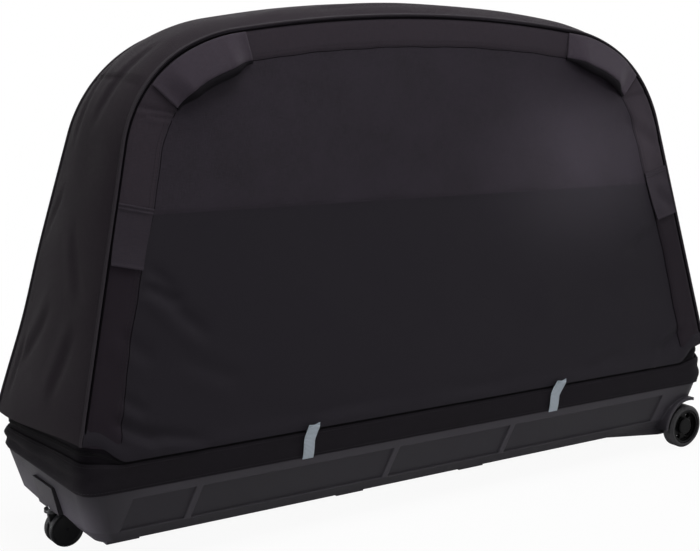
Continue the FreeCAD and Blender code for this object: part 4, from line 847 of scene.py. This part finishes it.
def grab_handle(side, end, sign):
    """A padded strap handle, sewn down at both ends. Its rolled inner edge stands off between them."""
    start, stop = 0.371, 0.584
    rows, columns = 90, 57
    outer, inner_high, widening, end_round = 0.0062, 0.0560, 0.0080, 0.0035
    thin, roll_thick, lifted_thick = 0.0021, 0.0012, 0.0020
    tilt, outer_lift, inner_lift, fullness = 0.0016, 0.0040, 0.0105, 0.0014
    u = 0.5 - 0.5 * np.cos(np.linspace(0, math.pi, rows))
    run = start + (stop - start) * u
    angle = np.linspace(0, 2 * math.pi, columns)
    across = np.sign(np.cos(angle)) * np.abs(np.cos(angle)) ** 0.5
    through = np.sign(np.sin(angle)) * np.abs(np.sin(angle)) ** 0.85
    inward = (across + 1) / 2
    lift = (smooth(u, 0.03, 0.24) * (1 - smooth(u, 0.74, 0.97)))[:, None]
    inner = (inner_high + widening * smooth(u, 0.0, 0.35))[:, None]
    from_end = np.minimum(run - start, stop - run)[:, None]
    ends = np.sqrt(1 - (1 - np.clip(from_end / end_round, 0.02, 1)) ** 2)
    half_thick = (thin + (roll_thick + lifted_thick * lift) * inward ** 1.5) * (0.35 + 0.65 * ends)
    stand = HANDLE_HEIGHT + tilt * inward + lift * (outer_lift + inner_lift * inward ** 1.6)
    puff = fullness * np.sin(np.pi * inward) * (0.3 + lift)
    inset = outer + (inner - outer) * inward
    t = sign * (run[:, None] + 0.006 * (inward - 0.5) * (u[:, None] - 0.5))
    spots = side.along(t, inset, stand + half_thick * through + puff * (through > 0))
    handle = tube(f"{side.name}_handle_{end}", spots, pair(t, inset))
    hand_over(handle, "cover", "band_cloth", HANDLE_CLOTH, f"handle_{side.name}_{end}")
    edge = int(np.argmax(inward))
    # The binding along the inner edge swells where the handle stands off most. It is a real binding that also
    # stands for the shadowed gap under it, as painted shade.
    swell = 0.42 + 0.58 * lift[2:-2, 0]
    roll = side.along(t[2:-2, edge], inset[2:-2, edge] + 0.0046 * swell, stand[2:-2, edge] - 0.0040 * swell)
    binding_and_shade = round_cord(f"{side.name}_handle_{end}_binding", roll, BINDING_AND_SHADE_RADIUS, 3, swell)
    hand_over(binding_and_shade, "cover", "band_cloth", BINDING_AND_SHADE)
    top = stand + half_thick - 0.0009
    for place, name in ((0.84, "low"), (0.10, "high")):
        column = int(np.argmin(np.abs(inward - place) + (through < 0)))
        points = side.along(t[6:-6, column], inset[6:-6, column], top[6:-6, column])
        stitches(f"{side.name}_handle_{end}_stitch_{name}", points, "cover")
    for place, name in ((start + 0.008, "upper"), (stop - 0.008, "lower"), (stop - 0.016, "second")):
        row = int(np.argmin(np.abs(run - place)))
        keep = np.flatnonzero((through > 0.3) & (inward > 0.04) & (inward < 0.97))
        points = side.along(t[row, keep], inset[row, keep], top[row, keep])
        stitches(f"{side.name}_handle_{end}_tack_{name}", points, "cover")


def edge_piping(side):
    """The cloth-covered piping where the panel meets the gusset, and a near-black cord beside it: painted
    shade in the groove.
    """
    run = np.linspace(-side.end, side.end, 460)
    past_edge, out = 0.0010, 0.0004
    (x, up), _ = outline(run, side.draw_in(run) - past_edge)
    cord = round_cord(f"{side.name}_edge_piping", side.place(x, up, out), PIPING_RADIUS, 3)
    hand_over(cord, "cover", "piping_cord", PIPING, f"{side.name}_piping")
    groove_shade = round_cord(f"{side.name}_edge_groove", side.along(run, 0.0042, 0.0006), GROOVE_SHADE_RADIUS, 2)
    hand_over(groove_shade, "cover", "piping_cord", GROOVE_SHADE)


# How far the gusset bulges out, by distance from the middle of the top
crown = soft_line([0, 0.25, 0.40, 0.52, 0.63, 0.70, 0.77, 0.95, 1.07, 1.121, 1.160, 1.187, 1.21],
                  [0.021, 0.021, 0.018, 0.015, 0.014, 0.016, 0.018, 0.016, 0.016, 0.0185, 0.0180, 0.012,
                   0.005])
GUSSET_SEAMS = {"left": -0.592, "right": 0.592}

# Folds of the gusset: both ends as run and place across, half width and depth
GUSSET_FOLDS = [
    (-1.10, -0.10, -1.00, -0.02, 0.016, 0.0040), (-1.13, 0.06, -1.02, 0.10, 0.016, 0.0036),
    (-1.16, -0.13, -1.06, -0.12, 0.010, 0.0032), (-0.88, -0.15, -0.80, -0.08, 0.014, 0.0030),
    (-0.66, 0.02, -0.52, 0.06, 0.018, 0.0030), (-0.70, -0.08, -0.56, -0.10, 0.016, 0.0026),
    (1.10, 0.10, 1.00, 0.02, 0.016, 0.0040), (1.13, -0.06, 1.02, -0.10, 0.016, 0.0034),
    (1.16, 0.13, 1.06, 0.12, 0.010, 0.0030), (0.66, -0.02, 0.52, -0.06, 0.018, 0.0030),
    (0.70, 0.08, 0.56, 0.10, 0.016, 0.0026), (-0.95, 0.10, -0.85, 0.03, 0.016, 0.0026),
    (-0.20, 0.10, 0.05, 0.07, 0.02, 0.0014), (0.10, -0.09, 0.33, -0.06, 0.02, 0.0014),
]


def gusset_cloth():
    """The strip that runs over the top and down both ends between the two pipings."""
    rows, columns = 460, 64
    wave_height, overlap, stitch_dip = 0.0016, 0.0008, 0.0012
    share = np.linspace(-1, 1, columns)
    across = share * PANEL_HALF
    way = np.linspace(-1, 1, rows)[:, None]
    end = side_z(cover_edge(np.sign(way) * RING_LENGTH, -across))
    run = way * end
    (x, up), (nx, nup) = outline(run, 0.0)
    front = FRONT.place(x, up, 0.0)
    (back_x, back_up), _ = outline(run, BACK.draw_in(-run))
    back = BACK.place(-back_x, back_up, 0.0)
    normal = pair(nx, 0, nup)
    above_end = end - np.abs(run)
    rise = crown(SEAM_END - above_end) * (1 - np.abs(share) ** 2.3)
    soft = wave_height * np.sin(9 * run + 14 * across + 1) * np.sin(21 * across - 5 * run)
    rise = rise + soft * (1 - share ** 2) * smooth(above_end, 0, 0.06)
    for fold in GUSSET_FOLDS:
        rise = rise + crease(run, across, *fold) * (1 - share ** 4)
    for seam in GUSSET_SEAMS.values():
        off = run - seam
        ridge = overlap * smooth(off * np.sign(-seam), -0.001, 0.001) - stitch_dip * bump(off, 0, 0.0022)
        rise = rise + ridge * smooth(0.05 - np.abs(off), 0, 0.045)
    spots = (front + back) / 2 + share[:, None] * (front - back) / 2 + rise[..., None] * normal
    piece = sheet("gusset_strip", spots, pair(across, run), CLOTH_THICK)
    hand_over(piece, "cover", "upper_cloth", GUSSET_CLOTH, "gusset")
    stretched(piece, (0.38, 2.46), spots, "front_hoop_arch", "back_hoop_arch")
    for end_name, seam in GUSSET_SEAMS.items():
        for offset in (0.006, 0.012):
            row = int(np.argmin(np.abs(run[:, columns // 2] - (seam - math.copysign(offset, seam)))))
            points = (spots[row] + STITCH_OUT * normal[row])[2:-2]
            stitches(f"gusset_stitch_{end_name}_{round(offset * 1000)}", points, "cover", "upper_cloth")
    for side, column in (("front", -2), ("back", 1)):
        points = spots[4:-4, column] + STITCH_OUT * normal[4:-4, column]
        stitches(f"gusset_edge_stitch_{side}", points, "cover", "upper_cloth")


for big_side in (FRONT, BACK):
    big_panel(big_side)
    edge_band(big_side)
    edge_piping(big_side)
    for end_name, end_sign in (("left", -1), ("right", 1)):
        edge_patch(big_side, end_name, end_sign)
        grab_handle(big_side, end_name, end_sign)
gusset_cloth()


# Skirt and zipper

def skirt_cloth():
    """The band of cloth between the tub's lip and the zipper, with its soft folds."""
    columns, rows = 520, 22
    foot, middle = 0.1425, 0.165
    stand_off, side_belly, end_belly = 0.0012, 0.0009, 0.0012
    fold_depth, wrinkle_depth, corner_bulge, tuck = 0.0007, 0.0013, 0.0034, 0.0022
    x, y, nx, ny, way = ring(columns)
    v = np.linspace(0, 1, rows)[:, None]
    z = foot + (skirt_edge(x, y) - foot) * v
    at_end = smooth(np.abs(nx), 0.5, 0.95)
    belly = np.sin(v * math.pi) ** 0.8
    out = stand_off + (side_belly + end_belly * at_end) * belly
    slant = way + 0.30 * (z - middle)
    fold = np.sin(slant * 31.0) * np.sin(slant * 7.3 + 1.0)
    fold = fold + 0.6 * np.sin(slant * 53.0 + 2.0 + 3.0 * v)
    wrinkle = np.sin(v * 9.0 + 2.2 * np.sin(way * 5.0) + 0.8 * np.sin(way * 13.0))
    corner = bump(np.abs(x), 0.715, 0.06)
    folds = fold_depth * fold * (0.3 + corner + at_end) + wrinkle_depth * wrinkle * (0.2 + corner + at_end)
    out = out + folds * belly * (1 - 0.85 * slider_run(x, y))
    out = out + corner_bulge * bump(np.abs(nx * ny), 0.5, 0.10) * (1 - 0.5 * v)
    out = out - tuck * smooth(v, 0.86, 1.0)
    out[:, -1] = out[:, 0]
    spots = pair(x + out * nx, y + out * ny, z)
    skirt = sheet("skirt_band", spots, pair(way, z), CLOTH_THICK, wrap=True, inner=np.array([0, 0, middle]))
    hand_over(skirt, "base", "upper_cloth", SKIRT_CLOTH, "lower_skirt")
    stretched(skirt, (0.080, 3.55), spots, "base_tub")
    for row, name in ((2, "low"), (-3, "high")):
        points = spots[row] + STITCH_OUT * pair(nx, ny, 0)
        stitches(f"skirt_stitch_{name}", points, "base", "upper_cloth")


def zip_tape(name, edge, upward, body, node, cloth):
    """One woven tape of the zipper, between the edge of the cloth it is sewn to and its coil."""
    columns, rows = 420, 7
    inner = np.array([0, 0, 0.2])
    x, y, nx, ny, way = ring(columns)
    sewn = edge(x, y) + upward * TAPE_SEWN
    free = coil_line(x, y) + upward * COIL_GAP
    low, high = np.minimum(sewn, free), np.maximum(sewn, free)
    z = low + (high - low) * np.linspace(0, 1, rows)[:, None]
    spots = pair(x - TAPE_SUNK * nx, y - TAPE_SUNK * ny, z)
    tape = sheet(name, spots, pair(way, z), THIN_THICK, wrap=True, inner=inner)
    hand_over(tape, body, "zip_tape", TAPE_CLOTH, node)
    stretched(tape, (0.026, 3.52), spots, cloth)


def coil_tooth():
    """One turn of the zipper's coil: a small rounded bar across the tape."""
    deselect()
    bpy.ops.mesh.primitive_cylinder_add(vertices=6, radius=COIL_RADIUS, depth=COIL_LENGTH)
    return edit(bpy.context.object, lambda: bpy.ops.mesh.bevel(offset=COIL_ROUND, segments=1))


def zipper():
    """Both tapes and their coils."""
    zip_tape("zip_tape_low", skirt_edge, -1, "base", "zip_tape_lower", "skirt_band")
    zip_tape("zip_tape_high", cover_edge, 1, "cover", "zip_tape_upper", "gusset_strip")
    tooth = coil_tooth()
    x, y, nx, ny, _ = ring(900)
    for name, step, body in (("zip_coil_low", -COIL_STEP, "base"), ("zip_coil_high", COIL_STEP, "cover")):
        points = pair(x - COIL_SUNK * nx, y - COIL_SUNK * ny, coil_line(x, y) + step)
        coil = row_along(name, tooth, COIL_PITCH, points)
        hand_over(coil, body, "zip_tape", COIL)
    bpy.data.objects.remove(tooth)


skirt_cloth()
zipper()
bpy.data.objects.remove(STITCH)


# Hinge, loops and mats

def hinge_cloth():
    """The cloth strip at the back that the cover turns on."""
    half_length, inner_y = 0.600, 0.1715
    low, high = 0.1845, 0.1985
    columns, rows = 120, 12
    x = np.linspace(-half_length, half_length, columns)
    z = np.linspace(low, high, rows)[:, None]
    spots = pair(x, inner_y, z)
    strip = sheet("hinge_cloth", spots, pair(x, z), THIN_THICK)
    dress(strip, "zip_tape", TAPE_CLOTH, "hinge_strip")
    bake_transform(strip)


# Middle line of a webbing loop, from the tub's lip up, over the fold and down again
LOOP_PATH = np.array([
    [0.0, -0.1812, 0.1395], [0.0, -0.1842, 0.150], [0.0, -0.1858, 0.164], [0.001, -0.1856, 0.175],
    [0.005, -0.1862, 0.183], [0.0105, -0.1880, 0.193], [0.0150, -0.1894, 0.2005], [0.0162, -0.1888, 0.2034],
    [0.0150, -0.1868, 0.2018], [0.0105, -0.1850, 0.193], [0.0055, -0.1838, 0.184],
])
LOOP_HALF = 0.011


def webbing_loop(end, middle, tilt):
    """A grey webbing pull loop, sewn at the tub's lip and folded over at its tilted top."""
    path = LOOP_PATH * [tilt, 1, 1]
    fine = np.linspace(0, len(path) - 1, 60)
    kernel = np.hanning(9)
    kernel = kernel / kernel.sum()
    lines = [np.interp(fine, np.arange(len(path)), values) for values in path.T]
    spots = pair(*(np.convolve(np.pad(line, 4, mode="edge"), kernel, mode="valid") for line in lines))
    run = np.concatenate([[0], np.cumsum(np.linalg.norm(np.diff(spots, axis=0), axis=1))])
    across = LOOP_HALF * np.linspace(-1, 1, 9)
    lean = np.gradient(spots[:, 0]) / np.maximum(np.abs(np.gradient(spots[:, 2])), 1e-6)
    slant = 0.6 * np.clip(lean, -0.5, 0.5)
    places = np.repeat(spots[:, None, :], len(across), 1)
    places[..., 0] += middle + across
    places[..., 2] -= across * slant[:, None]
    loop = sheet(f"pull_loop_{end}", places, pair(across, run[:, None]), WEBBING_THICK)
    hand_over(loop, "base", "webbing", LOOP_WEBBING, f"webbing_loop_{end}")


def floor_mats():
    """Two padded mats on the tub's floor, one each side of the rail."""
    low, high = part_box("floor_pads")
    voxel, crown_height, crown_run = 0.005, 0.0022, 0.035
    pick(nodes["floor_pads"])
    bpy.ops.object.duplicate()
    mat = bpy.context.object
    mat.parent = None
    mat.name = mat.data.name = "floor_mats"
    edit(mat, lambda: bpy.ops.mesh.remove_doubles(threshold=0.0001), outward)
    apply(mat, "REMESH", mode="VOXEL", voxel_size=voxel)
    apply(mat, "SMOOTH", factor=0.5, iterations=6)
    spots = np.zeros(len(mat.data.vertices) * 3, np.float32)
    mat.data.vertices.foreach_get("co", spots)
    spots = spots.reshape(-1, 3)
    x, y, z = np.abs(spots[:, 0]), np.abs(spots[:, 1]), spots[:, 2]
    inside = np.minimum(np.minimum(high[0] - x, high[1] - y), y - y.min())
    spots[:, 2] += crown_height * smooth(inside, 0.0, crown_run) * (z > (low[2] + high[2]) / 2)
    mat.data.vertices.foreach_set("co", spots.ravel())
    mat.data.update()
    smooth_shade(mat, 60)
    hand_over(mat, "base", "foam", PAD_CLOTH, "floor_pads")


hinge_cloth()
webbing_loop("left", -0.294, 0.55)
webbing_loop("right", 0.285, 0.90)
floor_mats()


# Stage: floor, light and camera

def pale_floor():
    """A plain pale floor that the camera sees white, and that keeps the case's shadow."""
    floor_size, under_feet, near, far, near_glow = 60, 0.0006, 0.6, 1.7, 0.94
    deselect()
    bpy.ops.mesh.primitive_plane_add(size=floor_size, location=(0, 0, -under_feet))
    floor = bpy.context.object
    bpy.ops.object.transform_apply(location=True)
    floor.name = "floor"
    look = Finish("pale_floor", roughness=0.9, base_color=paint(240, 240, 240))
    light = look.node("LightPath", {}, {}, "Is Camera Ray")
    glow = look.node("Emission", {}, {"Color": (1, 1, 1, 1), "Strength": 1.0})
    spot = look.node("VectorMath", {"operation": "LENGTH"}, {0: look.place()[3]}, "Value")
    share = light * look.limit(spot, near, far, near_glow, 1.0)
    mixed = look.node("MixShader", {}, {0: share, 1: Wire(look, look.shader.outputs[0]), 2: glow})
    look.feed(look.tree.nodes["Material Output"].inputs["Surface"], mixed)
    coat(floor, look.material)


# Soft boxes: name, place, aim, size, power in watts and spread in degrees
SOFT_BOXES = [
    ("top_box", (0.2, -0.55, 3.2), (0, 0, 0.5), (2.6, 2.0), 74, 180),
    ("front_box", (-0.6, -3.3, 1.9), (-0.05, -0.13, 0.62), (1.6, 1.4), 1.4, 40),
    ("highlight_box", (2.16, -1.88, 1.02), (0.40, -0.12, 0.63), (0.14, 0.14), 0.18, 9),
    ("low_left_box", (-2.5, 0.25, 0.05), (-0.7, 0, 0.065), (0.5, 0.06), 0.32, 6),
    ("back_box", (0.6, 3.3, 1.9), (0, 0.15, 0.4), (1.8, 1.6), 16, 180),
    ("right_end_box", (3.2, 0.9, 1.4), (0.7, 0, 0.4), (1.4, 1.4), 9, 180),
]
SKY_GLOW, SKY_SEEN = 0.14, 1.0


def soft_box(name, spot, aim, size, power, spread_angle):
    """An area light that looks from its place to its aim."""
    light = bpy.data.lights.new(name, "AREA")
    light.shape = "RECTANGLE"
    light.size, light.size_y = size
    light.energy = power
    light.spread = math.radians(spread_angle)
    lamp = bpy.data.objects.new(name, light)
    lamp.location = spot
    lamp.rotation_euler = (Vector(aim) - Vector(spot)).to_track_quat("-Z", "Y").to_euler()
    bpy.context.scene.collection.objects.link(lamp)


def studio():
    """Surroundings that look white but light the case weakly, and soft boxes all round."""
    world = bpy.data.worlds.new("studio")
    bpy.context.scene.world = world
    world.use_nodes = True
    sky = Nodes(world.node_tree)
    rays = [sky.node("LightPath", {}, {}, f"Is {kind} Ray") for kind in ("Camera", "Transmission", "Glossy")]
    seen = sky.math("MAXIMUM", sky.math("MAXIMUM", rays[0], rays[1]), rays[2])
    background = sky.tree.nodes["Background"]
    sky.feed(background.inputs["Color"], (1, 1, 1, 1))
    sky.feed(background.inputs["Strength"], sky.node("MapRange", {}, {0: seen, 3: SKY_GLOW, 4: SKY_SEEN}))
    for box in SOFT_BOXES:
        soft_box(*box)
    bpy.context.scene.view_settings.view_transform = "Standard"


# Camera: its angles, its place, and its focal length in pixels of the photograph
AZIMUTH, ELEVATION, ROLL = math.radians(-34.5674), math.radians(10.7306), math.radians(1.0094)
CAMERA_PLACE = (-1.61643, -2.22117, 0.93090)
FOCAL_PIXELS, PHOTO_WIDTH, SENSOR_WIDTH = 1435.967, 700, 36


def photo_camera():
    """The camera at the photograph's place, with its small roll."""
    level = math.cos(ELEVATION)
    back = Vector((math.sin(AZIMUTH) * level, -math.cos(AZIMUTH) * level, math.sin(ELEVATION)))
    right = Vector((math.cos(AZIMUTH), math.sin(AZIMUTH), 0))
    up = back.cross(right)
    turned_right = right * math.cos(ROLL) + up * math.sin(ROLL)
    turned_up = up * math.cos(ROLL) - right * math.sin(ROLL)
    lens = bpy.data.cameras.new("photo_camera")
    lens.sensor_fit = "HORIZONTAL"
    lens.sensor_width = SENSOR_WIDTH
    lens.lens = SENSOR_WIDTH * FOCAL_PIXELS / PHOTO_WIDTH
    camera = bpy.data.objects.new("photo_camera", lens)
    turn = Matrix((turned_right, turned_up, back)).transposed().to_4x4()
    camera.matrix_world = Matrix.Translation(CAMERA_PLACE) @ turn
    bpy.context.scene.collection.objects.link(camera)
    bpy.context.scene.camera = camera


pale_floor()
studio()
photo_camera()
